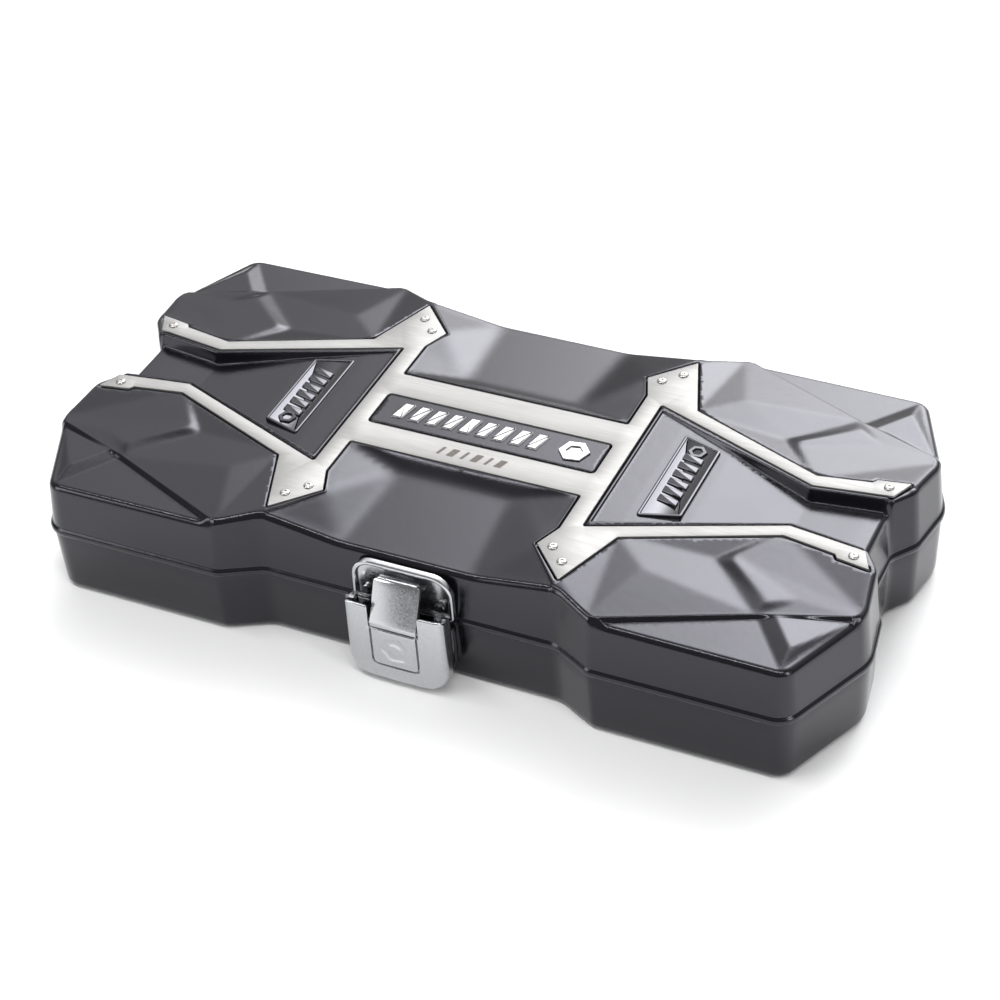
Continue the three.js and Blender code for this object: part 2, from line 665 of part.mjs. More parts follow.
function ratchetDrive() {
  const teeth = 24;
  const [tip, root] = [10.1, 9.3];
  const gear = Array.from({ length: 2 * teeth }, (_, k) => {
    const r = k % 2 ? root : tip;
    const a = (Math.PI * k) / teeth;
    return [headX + r * Math.cos(a), r * Math.sin(a)];
  });
  const half = drive / 2;
  return join(
    slab(gear, headBottomZ + 2.6, headTopZ - 2.8),
    rod("z", 10.1, headBottomZ - 0.2, headBottomZ + 2.7, [headX, 0], 24),
    box(headX - half, headX + half, -half, half, 4.4, headBottomZ));
}

function ratchetSelector() {
  const z0 = headTopZ + gap;
  const hub = rod("z", 6.5, z0, z0 + 3.4, [headX, 0], 20);
  const paddle = slab([[headX + 3, -3.2], [headX + 13, -2], [headX + 13, 2], [headX + 3, 3.2]], z0, z0 + 2.8);
  return join(hub, paddle, rod("z", 3.1, headTopZ - 2, z0 + 0.5, [headX, 0], 14));
}

// ---------------------------------------------------------------- materials and assembly

const finish = (color, roughness, metalness) =>
  new THREE.MeshStandardMaterial({ color, roughness, metalness });
const blackPaint = finish(0x2b2b2e, 0.3, 0.2);
const brushed = finish(0xcfcdca, 0.35, 1);
const chrome = finish(0xd4d5d8, 0.12, 1);
const phosphate = finish(0x2e2d2f, 0.45, 0.7);
const trayPlastic = finish(0x1b1b1d, 0.6, 0);
const gripRubber = finish(0x232325, 0.7, 0);

const socketSet = new THREE.Group();

function add(name, solid, material) {
  const mesh = new THREE.Mesh(toGeometry(solid), material);
  mesh.name = name;
  socketSet.add(mesh);
}

add("base_shell", baseShell(), blackPaint);
add("lid_shell", lidShell(), blackPaint);
add("trim_plate", trimPlate(), brushed);
rivetPlaces.forEach(([x, y], i) => add("trim_rivet_" + (i + 1), rivet(x, y), brushed));

add("hinge_leaf_base", hingeLeaf(false), chrome);
add("hinge_leaf_lid", hingeLeaf(true), chrome);
add("hinge_pin", rod("x", pinR, -hingeHalf - 0.6, hingeHalf + 0.6, [hingeY, hingeZ], 14), chrome);
hingeRivetSpots.forEach(([x, z]) => {
  const name = (z > hingeZ ? "hinge_rivet_lid_" : "hinge_rivet_base_") + (x < 0 ? "left" : "right");
  add(name, wallRivet(1, [x, z], leafFaceY), chrome);
});

const sideName = (x) => (x < 0 ? "left" : "right");
add("latch_keeper_plate", keeperPlate(), chrome);
add("latch_catch_plate", catchPlate(), chrome);
add("latch_lever", latchLever(), chrome);
add("latch_tongue", latchTongue(), chrome);
const linkRod = rod("x", latchPinR, -slotHalf - 1.8, slotHalf + 1.8, [linkPin.y, linkPin.z], 10);
add("latch_link_pin", linkRod, chrome);
[-1, 1].forEach((side) => add("latch_pivot_pin_" + sideName(side), pivotPin(side), chrome));
keeperRivets.forEach((spot) => {
  add("keeper_rivet_" + sideName(spot[0]), wallRivet(-1, spot, keeperFaceY + 1), chrome);
});
catchRivets.forEach((spot) => {
  add("catch_rivet_" + sideName(spot[0]), wallRivet(-1, spot, catchFaceY), chrome);
});

add("tray", tray(), trayPlastic);
sockets.forEach((place) => add("socket_" + place.size, socket(place), phosphate));
add("extension_bar", extensionBar(), phosphate);
add("ratchet_body", ratchetBody(), chrome);
add("ratchet_grip", ratchetGrip(), gripRubber);
add("ratchet_drive", ratchetDrive(), chrome);
const pawl = box(headX + 11, headX + 15.6, -4.6, 4.6, headBottomZ + 3, headTopZ - 3.2);
add("ratchet_pawl", pawl, chrome);
add("ratchet_selector", ratchetSelector(), chrome);

export default socketSet;
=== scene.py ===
"""Socket wrench set in a pressed-steel case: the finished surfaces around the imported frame.

Lengths in this file are millimetres until a mesh is made; the frame and Blender are in metres.
The case is the same in all four quadrants, so most places are given for the one with x and y > 0.
"""
import json
import math

import bpy
import numpy as np
from mathutils import Matrix, Vector
from mathutils.geometry import delaunay_2d_cdt


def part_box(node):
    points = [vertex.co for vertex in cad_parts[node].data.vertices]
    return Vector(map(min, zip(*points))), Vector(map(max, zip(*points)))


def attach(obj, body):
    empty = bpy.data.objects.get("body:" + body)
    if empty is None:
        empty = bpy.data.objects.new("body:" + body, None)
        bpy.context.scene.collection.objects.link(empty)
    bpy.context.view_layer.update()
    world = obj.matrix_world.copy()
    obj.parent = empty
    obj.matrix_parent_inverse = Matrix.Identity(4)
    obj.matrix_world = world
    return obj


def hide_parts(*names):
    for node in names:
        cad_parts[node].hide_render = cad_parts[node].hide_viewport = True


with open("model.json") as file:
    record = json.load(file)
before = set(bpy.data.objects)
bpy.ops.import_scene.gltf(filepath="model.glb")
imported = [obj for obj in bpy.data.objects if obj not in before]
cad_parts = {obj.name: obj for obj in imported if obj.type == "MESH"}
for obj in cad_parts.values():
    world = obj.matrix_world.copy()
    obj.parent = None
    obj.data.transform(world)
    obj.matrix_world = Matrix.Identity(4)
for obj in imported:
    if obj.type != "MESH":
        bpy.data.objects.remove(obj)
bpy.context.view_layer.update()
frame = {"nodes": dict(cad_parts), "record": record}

MM = 0.001
NODES = frame["nodes"]


def low(node):
    """Lowest corner of a CAD node, in millimetres."""
    return np.array(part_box(node)[0]) / MM


def high(node):
    """Highest corner of a CAD node, in millimetres."""
    return np.array(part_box(node)[1]) / MM


PLATE_TOP = high("trim_plate")[2]
PLATE_UNDER = low("trim_plate")[2]
PARTING = low("lid_shell")[2] - 0.15
LATCH_HALF = high("latch_lever")[0]
LATCH_FACE = low("latch_lever")[1]
NAME_PANEL_TOP = 49.7  # floor of the window in the trim plate
LID_WALL_Y = 68.3  # the case's waist, where the latch is
SLOT_HALF = 8.9  # slot in the lever that the tongue lies in
SLOT_BOTTOM = 23.8
TONGUE_HALF = high("latch_tongue")[0]
TONGUE_TOP = high("latch_tongue")[2]
LINK = ((low("latch_link_pin") + high("latch_link_pin")) / 2)[1:]
DRIVE_HALF = 6.35  # half-inch square
BORE = 4.4  # hole through a socket behind its recesses


# ---------------------------------------------------------------- camera, light and floor

VIEW_ANGLES = [27.139, 38.885, -4.18]  # degrees: round from the front, up, and rolled
VIEW_DISTANCE = 837.5
VIEW_SIDEWAYS, VIEW_UPWARDS = 3.74, -22.97
LENS, SENSOR = 88.867, 36


def add_camera():
    """A long lens above the right front corner, rolled a few degrees."""
    azimuth, elevation, roll = np.radians(VIEW_ANGLES)
    back = np.array([math.sin(azimuth) * math.cos(elevation),
                     -math.cos(azimuth) * math.cos(elevation), math.sin(elevation)])
    right = np.cross(-back, [0, 0, 1])
    right /= np.linalg.norm(right)
    up = np.cross(right, -back)
    turned_right = math.cos(roll) * right + math.sin(roll) * up
    turned_up = -math.sin(roll) * right + math.cos(roll) * up
    place = back * VIEW_DISTANCE + turned_right * VIEW_SIDEWAYS + turned_up * VIEW_UPWARDS + [0, 0, PLATE_TOP]
    data = bpy.data.cameras.new("camera")
    data.sensor_width = SENSOR
    data.lens = LENS
    data.clip_start = 0.05
    camera = bpy.data.objects.new("camera", data)
    bpy.context.scene.collection.objects.link(camera)
    turn = Matrix((turned_right, turned_up, back)).transposed().to_4x4()
    camera.matrix_world = Matrix.Translation(Vector(place * MM)) @ turn
    bpy.context.scene.camera = camera


def softbox(name, place, target, size, power):
    """Rectangular area light at place (m), facing target."""
    data = bpy.data.lights.new(name, "AREA")
    data.shape = "RECTANGLE"
    data.size, data.size_y = size
    data.energy = power
    light = bpy.data.objects.new(name, data)
    bpy.context.scene.collection.objects.link(light)
    aim = Vector(target) - Vector(place)
    light.matrix_world = Matrix.Translation(place) @ aim.to_track_quat("-Z", "Y").to_matrix().to_4x4()


def ramp_of(nodes, links, source, stops, low_from=-1.0, high_from=1.0):
    """Smooth ramp of grey levels: stops are (value of the source, level)."""
    ramp = nodes.new("ShaderNodeValToRGB")
    ramp.color_ramp.interpolation = "B_SPLINE"
    marks = ramp.color_ramp.elements
    while len(marks) < len(stops):
        marks.new(0.5)
    for mark, (value, level) in zip(marks, stops):
        mark.position = (value - low_from) / (high_from - low_from)
        mark.color = (level, level, level, 1)
    links.new(ranged(nodes, links, source, 0, 1, low_from, high_from), ramp.inputs[0])
    return ramp.outputs[0]


# Direction component against share of the glow's peak.
GLOW_ACROSS = [(-1.0, 0.08), (-0.66, 0.13), (-0.52, 0.1), (-0.42, 0.15), (-0.34, 0.34), (-0.25, 0.74),
               (-0.14, 1.0), (0.06, 1.0), (0.2, 0.6), (0.34, 0.08), (1.0, 0.03)]
GLOW_BACK = [(-1.0, 0.0), (-0.1, 0.0), (0.2, 0.3), (0.45, 1.0), (1.0, 1.0)]
GLOW_HEIGHT = [(-1.0, 0.0), (0.15, 0.1), (0.36, 0.35), (0.5, 0.95), (0.62, 1.0), (0.76, 1.0), (0.85, 0.3),
               (1.0, 0.05)]
GLOW_PEAK = 11.0
ROOM_LEVEL = 0.24


def multiplied(nodes, links, first, second):
    """Product of two outputs."""
    node = nodes.new("ShaderNodeMath")
    node.operation = "MULTIPLY"
    links.new(first, node.inputs[0])
    links.new(second, node.inputs[1])
    return node.outputs[0]


def add_world():
    """Dim studio with one wide glow behind the case, a little left of its middle.

    Its strength is peak * across(x) * back(y) * height(z) + room, of the direction (x, y, z).
    """
    world = bpy.data.worlds.new("studio")
    bpy.context.scene.world = world
    world.use_nodes = True
    nodes, links = world.node_tree.nodes, world.node_tree.links
    way = nodes.new("ShaderNodeTexCoord")
    split = nodes.new("ShaderNodeSeparateXYZ")
    links.new(way.outputs["Generated"], split.inputs[0])
    across = ramp_of(nodes, links, split.outputs["X"], GLOW_ACROSS)
    back = ramp_of(nodes, links, split.outputs["Y"], GLOW_BACK)
    height = ramp_of(nodes, links, split.outputs["Z"], GLOW_HEIGHT)
    shaped = multiplied(nodes, links, multiplied(nodes, links, across, back), height)
    total = nodes.new("ShaderNodeMath")
    total.operation = "MULTIPLY_ADD"
    links.new(shaped, total.inputs[0])
    total.inputs[1].default_value = GLOW_PEAK
    total.inputs[2].default_value = ROOM_LEVEL
    nodes["Background"].inputs["Color"].default_value = (0.985, 0.99, 1.0, 1)
    links.new(total.outputs[0], nodes["Background"].inputs["Strength"])


def add_stage():
    """White paper floor, the glow, and small softboxes for the edges and the latch."""
    square = np.array([[-1, -1, 0], [1, -1, 0], [1, 1, 0], [-1, 1, 0]])
    floor = piece_of("floor", square * 2000.0, [[0, 1, 2, 3]], floor_paint())
    add_world()
    bpy.context.scene.view_settings.view_transform = "Standard"
    softbox("overhead_strip", (-0.1, -0.35, 1.25), (0, 0, 0.03), (1.6, 0.1), 9)
    softbox("front_left", (-1.0, -0.9, 0.7), (0, 0, 0.02), (0.5, 0.7), 5)
    softbox("right_side", (1.2, -0.5, 0.7), (0, 0, 0.02), (0.3, 0.8), 5)


# ---------------------------------------------------------------- plane geometry

def quadrants(corners):
    """Corners of one quadrant, from +X round to +Y, repeated counterclockwise in all four."""
    first = np.array(corners, float)
    flips = [(1, 1), (-1, 1), (-1, -1), (1, -1)]
    parts = []
    for k, (sx, sy) in enumerate(flips):
        part = first.copy()
        part[:, 0] *= sx
        part[:, 1] *= sy
        parts.append(part[::-1] if k % 2 else part)
    return np.concatenate(parts)


def rounded(corners, spacing, arc_steps=6):
    """Points and outward normals along a counterclockwise outline of corners (x, y, radius).

    Each corner is an arc tangent to both edges; each edge between two arcs is divided evenly.
    """
    corners = np.asarray(corners, float)
    here, radius = corners[:, :2], corners[:, 2]
    to_before = np.roll(here, 1, axis=0) - here
    to_after = np.roll(here, -1, axis=0) - here
    to_before /= np.linalg.norm(to_before, axis=1)[:, None]
    to_after /= np.linalg.norm(to_after, axis=1)[:, None]
    points, normals = [], []
    turn = to_before[:, 0] * to_after[:, 1] - to_before[:, 1] * to_after[:, 0]
    half = np.arccos(np.clip((to_before * to_after).sum(axis=1), -1, 1)) / 2
    side = np.where(turn < 0, 1.0, -1.0)
    middle = to_before + to_after
    middle /= np.linalg.norm(middle, axis=1)[:, None]
    centre = here + middle * (radius / np.sin(half))[:, None]
    start = here + to_before * (radius / np.tan(half))[:, None]
    sweep = (math.pi - 2 * half) * side
    ends = []
    for k in range(len(here)):
        angle = np.linspace(0, sweep[k], arc_steps + 1)
        arm = start[k] - centre[k]
        c, s = np.cos(angle), np.sin(angle)
        arc = np.stack([c * arm[0] - s * arm[1], s * arm[0] + c * arm[1]], axis=1)
        points.append(centre[k] + arc)
        normals.append(arc / radius[k] * side[k])
        ends.append((centre[k] + arc[0], centre[k] + arc[-1]))
    all_points, all_normals = [], []
    for k in range(len(here)):
        all_points.append(points[k])
        all_normals.append(normals[k])
        leave, reach = ends[k][1], ends[(k + 1) % len(here)][0]
        count = 2 * max(int(np.linalg.norm(reach - leave) / spacing / 2), 1)
        t = np.arange(1, count)[:, None] / count
        all_points.append(leave + (reach - leave) * t)
        all_normals.append(np.repeat(normals[k][-1:], count - 1, axis=0))
    return np.concatenate(all_points), np.concatenate(all_normals)


def segment_distance(points, line, closed):
    """Distance from each point to a polyline, and the sign of the side (left is positive)."""
    start = line if closed else line[:-1]
    end = np.roll(line, -1, axis=0) if closed else line[1:]
    best = np.full(len(points), 1e9)
    side = np.zeros(len(points))
    for a, b in zip(start, end):
        ab = b - a
        t = np.clip(((points - a) @ ab) / (ab @ ab), 0, 1)
        gap = points - a - t[:, None] * ab
        distance = np.hypot(gap[:, 0], gap[:, 1])
        cross = ab[0] * (points[:, 1] - a[1]) - ab[1] * (points[:, 0] - a[0])
        nearer = distance < best - 1e-9
        best = np.where(nearer, distance, best)
        side = np.where(nearer, np.sign(cross), side)
    return best, side


def inside(points, ring):
    """Even-odd test of points against a closed ring."""
    x, y = points[:, 0], points[:, 1]
    flag = np.zeros(len(points), bool)
    for (ax, ay), (bx, by) in zip(ring, np.roll(ring, -1, axis=0)):
        crosses = (ay > y) != (by > y)
        at = ax + (y - ay) * (bx - ax) / (by - ay if by != ay else 1e-12)
        flag ^= crosses & (x < at)
    return flag


def depth_in(points, ring):
    """Signed distance to a closed ring, positive inside."""
    distance, _ = segment_distance(points, ring, True)
    return np.where(inside(points, ring), distance, -distance)


def smoothstep(t):
    """0 below 0, 1 above 1, with level ends."""
    t = np.clip(t, 0, 1)
    return t * t * (3 - 2 * t)


def folded(points, corners, triangles, soft):
    """Height of a faceted sheet at the points, its folds softened over about soft millimetres.

    Each facet is the plane through three corners (x, y, z) of the first quadrant, which the other
    quadrants mirror. The height is the mean of the faceted height at the point and on rings around it.
    """
    corners = np.asarray(corners, float)
    rings = [(0.0, 1, 1.0), (0.3, 5, 0.9), (0.55, 8, 0.7), (0.8, 11, 0.45), (1.0, 13, 0.2)]
    total, weight = np.zeros(len(points)), 0.0
    for reach, count, share in rings:
        for k in range(count):
            angle = 2 * math.pi * (k + 0.3 * reach) / count
            offset = soft * reach * np.array([math.cos(angle), math.sin(angle)])
            total += share * facet_height(np.abs(points + offset), corners, triangles)
            weight += share
    return total / weight


def facet_height(points, corners, triangles):
    """Height of the facet under each point; outside all facets the least outside one is extended."""
    best = np.full(len(points), -1e9)
    height = np.zeros(len(points))
    for i, j, k in triangles:
        a, b, c = corners[i], corners[j], corners[k]
        area = (b[0] - a[0]) * (c[1] - a[1]) - (b[1] - a[1]) * (c[0] - a[0])
        v = ((points[:, 0] - a[0]) * (c[1] - a[1]) - (points[:, 1] - a[1]) * (c[0] - a[0])) / area
        w = ((b[0] - a[0]) * (points[:, 1] - a[1]) - (b[1] - a[1]) * (points[:, 0] - a[0])) / area
        least = np.minimum(np.minimum(v, w), 1 - v - w)
        nearer = least > best
        best = np.where(nearer, least, best)
        height = np.where(nearer, a[2] + v * (b[2] - a[2]) + w * (c[2] - a[2]), height)
    return height


# ---------------------------------------------------------------- meshes

def grid_faces(rows, columns, closed=True):
    """Quads of a grid of rows by columns points; a closed grid joins its last column to its first."""
    i = np.arange(rows - 1)[:, None]
    j = np.arange(columns if closed else columns - 1)[None, :]
    k = (j + 1) % columns
    quads = [i * columns + j, i * columns + k, (i + 1) * columns + k, (i + 1) * columns + j]
    return np.stack(quads, axis=-1).reshape(-1, 4)


def stack(rings, cap_low=True, cap_high=True):
    """Points and faces through equal rings of points, capped with flat polygons."""
    rings = np.asarray(rings)
    rows, columns = rings.shape[:2]
    faces = grid_faces(rows, columns).tolist()
    if cap_low:
        faces.append(list(range(columns))[::-1])
    if cap_high:
        faces.append(list(range((rows - 1) * columns, rows * columns)))
    return rings.reshape(-1, 3), faces


def joined(parts):
    """Several (points, faces) as one."""
    points, faces, start = [], [], 0
    for part_points, part_faces in parts:
        points.append(part_points)
        faces += [[i + start for i in face] for face in np.asarray(part_faces, object).tolist()]
        start += len(part_points)
    return np.concatenate(points), faces


def merged(points, faces):
    """Equal points made one. Returns the kept points' indices and the faces in terms of them."""
    key = np.round(points / 0.002 + 0.31).astype(np.int64)
    _, first, index = np.unique(key, axis=0, return_index=True, return_inverse=True)
    index = index.reshape(-1)
    kept = []
    for face in faces:
        ids = [int(index[i]) for i in face]
        ids = [v for n, v in enumerate(ids) if v != ids[n - 1]]
        if len(ids) > 2:
            kept.append(ids)
    return first, kept


def piece_of(name, points, faces, look, normals=None, crease_angle=35):
    """Object from points in millimetres. Edges sharper than crease_angle degrees stay sharp, unless the
    normals are given."""
    first, faces = merged(points, faces)
    mesh = bpy.data.meshes.new(name)
    mesh.from_pydata((points[first] * MM).tolist(), [], faces)
    mesh.polygons.foreach_set("use_smooth", [True] * len(mesh.polygons))
    if normals is None:
        mesh.set_sharp_from_angle(angle=math.radians(crease_angle))
    else:
        mesh.normals_split_custom_set_from_vertices(normals[first].tolist())
    mesh.update()
    piece = bpy.data.objects.new(name, mesh)
    bpy.context.scene.collection.objects.link(piece)
    mesh.materials.append(look)
    return piece


def place(piece, body, slot, *nodes):
    """Say what the piece rides on, and hide the CAD nodes it stands for. The slot is not used."""
    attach(piece, body)
    if nodes:
        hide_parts(*nodes)


def grid_normals(grid):
    """Unit normals of a grid (rows, columns, 3) whose columns close on themselves."""
    across = np.roll(grid, -1, axis=1) - np.roll(grid, 1, axis=1)
    up = np.gradient(grid, axis=0)
    normal = np.cross(across, up)
    return normal / np.maximum(np.linalg.norm(normal, axis=2, keepdims=True), 1e-12)


def region_mesh(ring, lines, spacing):
    """Flat triangles over the inside of a ring, following the ring and the given lines.

    Points on a fine staggered grid fill in between, except close to a line.
    """
    kept, edges, count = [], [], 0
    loop = np.vstack([ring, ring[:1]])
    for line in [loop] + [dense(line, spacing) for line in lines]:
        flag = inside(line, ring) | (line is loop)
        index = np.full(len(line), -1)
        index[flag] = count + np.arange(int(flag.sum()))
        pair = flag[:-1] & flag[1:]
        edges.append(np.stack([index[:-1][pair], index[1:][pair]], axis=1))
        kept.append(line[flag])
        count += int(flag.sum())
    fixed = np.concatenate(kept)
    low_corner, high_corner = ring.min(axis=0), ring.max(axis=0)
    nx, ny = ((high_corner - low_corner) / spacing).astype(int) + 2
    gx, gy = np.meshgrid(np.arange(nx), np.arange(ny))
    fill = np.stack([gx + 0.5 * (gy % 2), gy + 0.0], axis=-1).reshape(-1, 2) * spacing + low_corner + 0.3
    fill = fill[inside(fill, ring)]
    clear = np.ones(len(fill), bool)
    for start in range(0, len(fixed), 400):
        gap = fill[:, None, :] - fixed[None, start:start + 400, :]
        clear &= (gap ** 2).sum(axis=2).min(axis=1) > (0.45 * spacing) ** 2
    points = np.concatenate([fixed, fill[clear]])
    corners = [Vector(p) for p in points]
    flat, _, faces, _, _, _ = delaunay_2d_cdt(corners, np.concatenate(edges).tolist(), [], 0, 1e-4)
    flat = np.array([tuple(v) for v in flat])
    faces = np.array([face for face in faces if len(face) == 3])
    return flat, faces[inside(flat[faces].mean(axis=1), ring)]


def pad(corners, levels, spacing=4, arc_steps=4):
    """Raised shape: the rounded outline of the corners, moved inwards by each level's inset at its height."""
    line, normals = rounded(corners, spacing, arc_steps)
    rings = [np.column_stack([line - normals * inset, np.full(len(line), z)]) for inset, z in levels]
    return stack(rings)


def turned(profile, centre, axis, segments=40):
    """Solid of revolution: rows of (radius, distance along the axis) from the centre.

    A row (radius, distance, sides) is a regular polygon with that inscribed radius instead of a circle.
    """
    angle = 2 * math.pi * (np.arange(segments) + 0.5) / segments
    rings = []
    for row in profile:
        reach = np.full(segments, float(row[0]))
        if len(row) > 2:
            wedge = 2 * math.pi / row[2]
            reach = row[0] / np.cos((angle + wedge / 2) % wedge - wedge / 2)
        along = np.full(segments, float(row[1]))
        flat = np.stack([reach * np.cos(angle), reach * np.sin(angle), along], axis=1)
        rings.append(flat[:, {"x": [2, 0, 1], "y": [1, 2, 0], "z": [0, 1, 2]}[axis]] + centre)
    return stack(rings)


# ---------------------------------------------------------------- the lid's surface

RIM = quadrants([
    [139.5, 10.5, 6],
    [146, 19.5, 10],
    [149.2, 40, 16],
    [133.3, 75.8, 9],
    [67, 75.8, 7],
    [52.5, 68.3, 9],
])
PLATE = quadrants([
    [49, 34.9, 0.8],
    [111.3, 11.1, 1],
    [137.7, 14.7, 0.5],
    [141.4, 22.8, 0.3],
    [130.3, 20.9, 0.3],
    [129.2, 19.2, 0.3],
    [111, 16.2, 1],
    [61.8, 35.7, 0.6],
    [52.2, 61.6, 0.3],
    [38.9, 47.6, 0.3],
    [42.7, 38, 0.6],
    [42.7, 20.2, 1.0],
])
CREASE = np.array([[52, 78.5], [115, 52], [175, 31.3]])
CHANNEL = np.array([[50.6, -31.8], [111.6, -9.6], [150, -15], [150, 15], [111.6, 9.6], [50.6, 31.8]])
CHANNEL_FLOOR = [50, 60, 80, 111, 131, 140, 150], [-0.5, -0.9, -2.1, -5.0, -5.2, -5.5, -5.8]
SCOOP = np.array([[-41.8, 21.0], [41.8, 21.0], [41.8, 38.4], [37.9, 48.0], [51.6, 63.6], [54, 90],
                  [-54, 90], [-51.6, 63.6], [-37.9, 48.0], [-41.8, 38.4]])

# Three folded sheets, as named corners (x, y, height from the top of the trim plate) and facets of three
# corners. The inner one is the lobes up to the crease, the outer one lies beyond it, and the dip is the
# scoop in the middle of a long side.
INNER = {
    "O": (0, 0, 0.1), "Q": (0, 90, 0.1), "D": (165, 0, -0.3),
    "A": (61.2, 34.6, 0.1), "B": (110.6, 14.6, 0.0), "C": (141.5, 23, -0.4), "F": (52.2, 61.8, 0.0),
    "P2": (50, 67, -1.0), "P2e": (50, 90, -1.4), "P1": (66, 73, -2.4), "P1e": (66, 92, -3.0),
    "G": (75, 47, -0.3), "X": (114, 52.4, -2.6), "E": (144, 42, -2.8),
    "I": (94.5, 33, -1.7), "I2": (100, 33.0, -0.5), "X2": (116.5, 47.2, -1.5),
    "V0": (99.5, 29.8, -0.6), "V1": (145, 39.5, -2.8), "R": (125, 42, -2.1),
    "Cend": (147, 29, -1.6), "Ce": (175, 22, -1.0), "Ee": (175, 34, -3.3), "Z": (175, 90, -4),
}
INNER_FACETS = """O A F,O F Q,O B A,O D B,D C B,D Ce C,A F P1,F P2 P1,F Q P2,Q P2e P2,P2 P2e P1,P2e P1e P1,
A P1 G,G P1 X,G X I,A G I,A I B,I X X2,I X2 I2,B I V0,I I2 V0,V0 I2 R,I2 X2 R,X2 X R,X E R,V0 R V1,R E V1,
B V0 V1,B V1 C,C V1 Cend,V1 E Cend,C Cend Ce,Cend E Ee,Cend Ee Ce,X P1 P1e,X P1e Z,X Z E,E Z Ee"""
OUTER = {
    "P1": (66, 74, -4.2), "X": (115, 52, -3.9), "E": (144, 42, -4.5), "K": (129.5, 71.5, -4.7),
    "P1e": (60, 95, -5.2), "Ke": (150, 99, -5.2), "Ee": (175, 40, -4.6),
    "Xr": (120.3, 50.2, -2.7), "Kr": (129.5, 62.5, -3.1), "O": (80, 20, -3.2),
}
OUTER_FACETS = "P1 X K,P1 K Ke,P1 Ke P1e,X Xr Kr,X Kr K,Xr E Kr,Kr E K,K E Ee,K Ee Ke,P1 O X,X O E,O Ee E"
DIP = {
    "T0": (0, 20.6, 0.1), "T1": (37, 21, 0.1), "T2": (42.7, 21, 0.1), "T3": (42.7, 38, 0.1),
    "T4": (38.6, 47.8, 0.0), "T5": (52, 64, -0.7), "T6": (54, 92, -1.6),
    "L0": (0, 27, -2.5), "L1": (22, 27, -2.5),
    "M0": (0, 64, -4.7), "M1": (25, 64, -4.7), "N0": (0, 92, -5.6), "N1": (27, 92, -5.6),
    "O": (0, 0, 9.1), "S": (60, 0, 9.1), "U": (70, 22, 0.1), "W": (70, 66, -0.7),
}
DIP_FACETS = """T0 L0 L1,T0 L1 T1,T1 L1 T2,T2 L1 T3,T3 L1 T4,L1 M1 T4,L0 M0 M1,L0 M1 L1,T4 M1 T5,M0 N0 N1,
M0 N1 M1,M1 N1 T6,M1 T6 T5,O T0 T1,O T1 S,S T1 T2,S T2 U,U T2 T3,U T3 W,W T3 T4,W T4 T5"""


# Folds sharp enough for the mesh to follow.
FOLDS = [(INNER, "I", "X"), (INNER, "I2", "X2"), (INNER, "A", "I"), (INNER, "G", "X"), (INNER, "I2", "R"),
         (OUTER, "X", "K"), (OUTER, "Xr", "Kr")]


def sheet_of(corners, facets):
    """Corner array and index triples of a table of named corners."""
    names = list(corners)
    triples = [[names.index(n) for n in word.split()] for word in facets.replace("\n", " ").split(",")]
    return np.array([corners[n] for n in names], float), triples


def dense(line, spacing):
    """Polyline with points added every spacing millimetres."""
    out = [line[:1]]
    for a, b in zip(line[:-1], line[1:]):
        count = max(int(np.linalg.norm(b - a) / spacing), 1)
        out.append(a + (b - a) * (np.arange(1, count + 1)[:, None] / count))
    return np.concatenate(out)


def shift_line(line, gap):
    """Open polyline moved to its left by gap, with mitred corners."""
    along = np.diff(line, axis=0)
    along /= np.linalg.norm(along, axis=1)[:, None]
    left = np.stack([-along[:, 1], along[:, 0]], axis=1)
    before, after = np.vstack([left[:1], left]), np.vstack([left, left[-1:]])
    middle = before + after
    return line + middle * (gap * 2 / (middle ** 2).sum(axis=1))[:, None]


STEP_WIDTH = 1.5  # drop at the crease
WALL_WIDTH = 1.6  # slope at the channel's sides
RECESS = PLATE_TOP - PLATE_UNDER + 0.3
RECESS_STEP = (0.35, 0.95)  # the recess's wall, from the plate's edge outwards
WINDOW_STEP = (0.35, 0.85)  # and from the window's edge inwards
SCOOP_STEP = 0.7
TOP_SPACING = 1.15  # between the points of the lid's top
WALL_SPACING = 1.35  # along the channel's walls
INNER_SOFT, OUTER_SOFT, DIP_SOFT = 1.9, 0.9, 4.4
PLATE_LINE, PLATE_NORMALS = rounded(PLATE, 3, arc_steps=2)
PANEL = np.array([[42.3, -8.7, 1.8], [42.3, 8.7, 1.8], [-42.3, 8.7, 1.8], [-42.3, -8.7, 1.8]])
PANEL_LINE, PANEL_NORMALS = rounded(PANEL, 3, arc_steps=4)


def wall_width(x):
    """Width of the channel's wall at x: narrow where the channel starts, at its shallow end."""
    return WALL_WIDTH * np.interp(x, [49, 52, 58, 70], [0.2, 0.35, 0.6, 1.0])


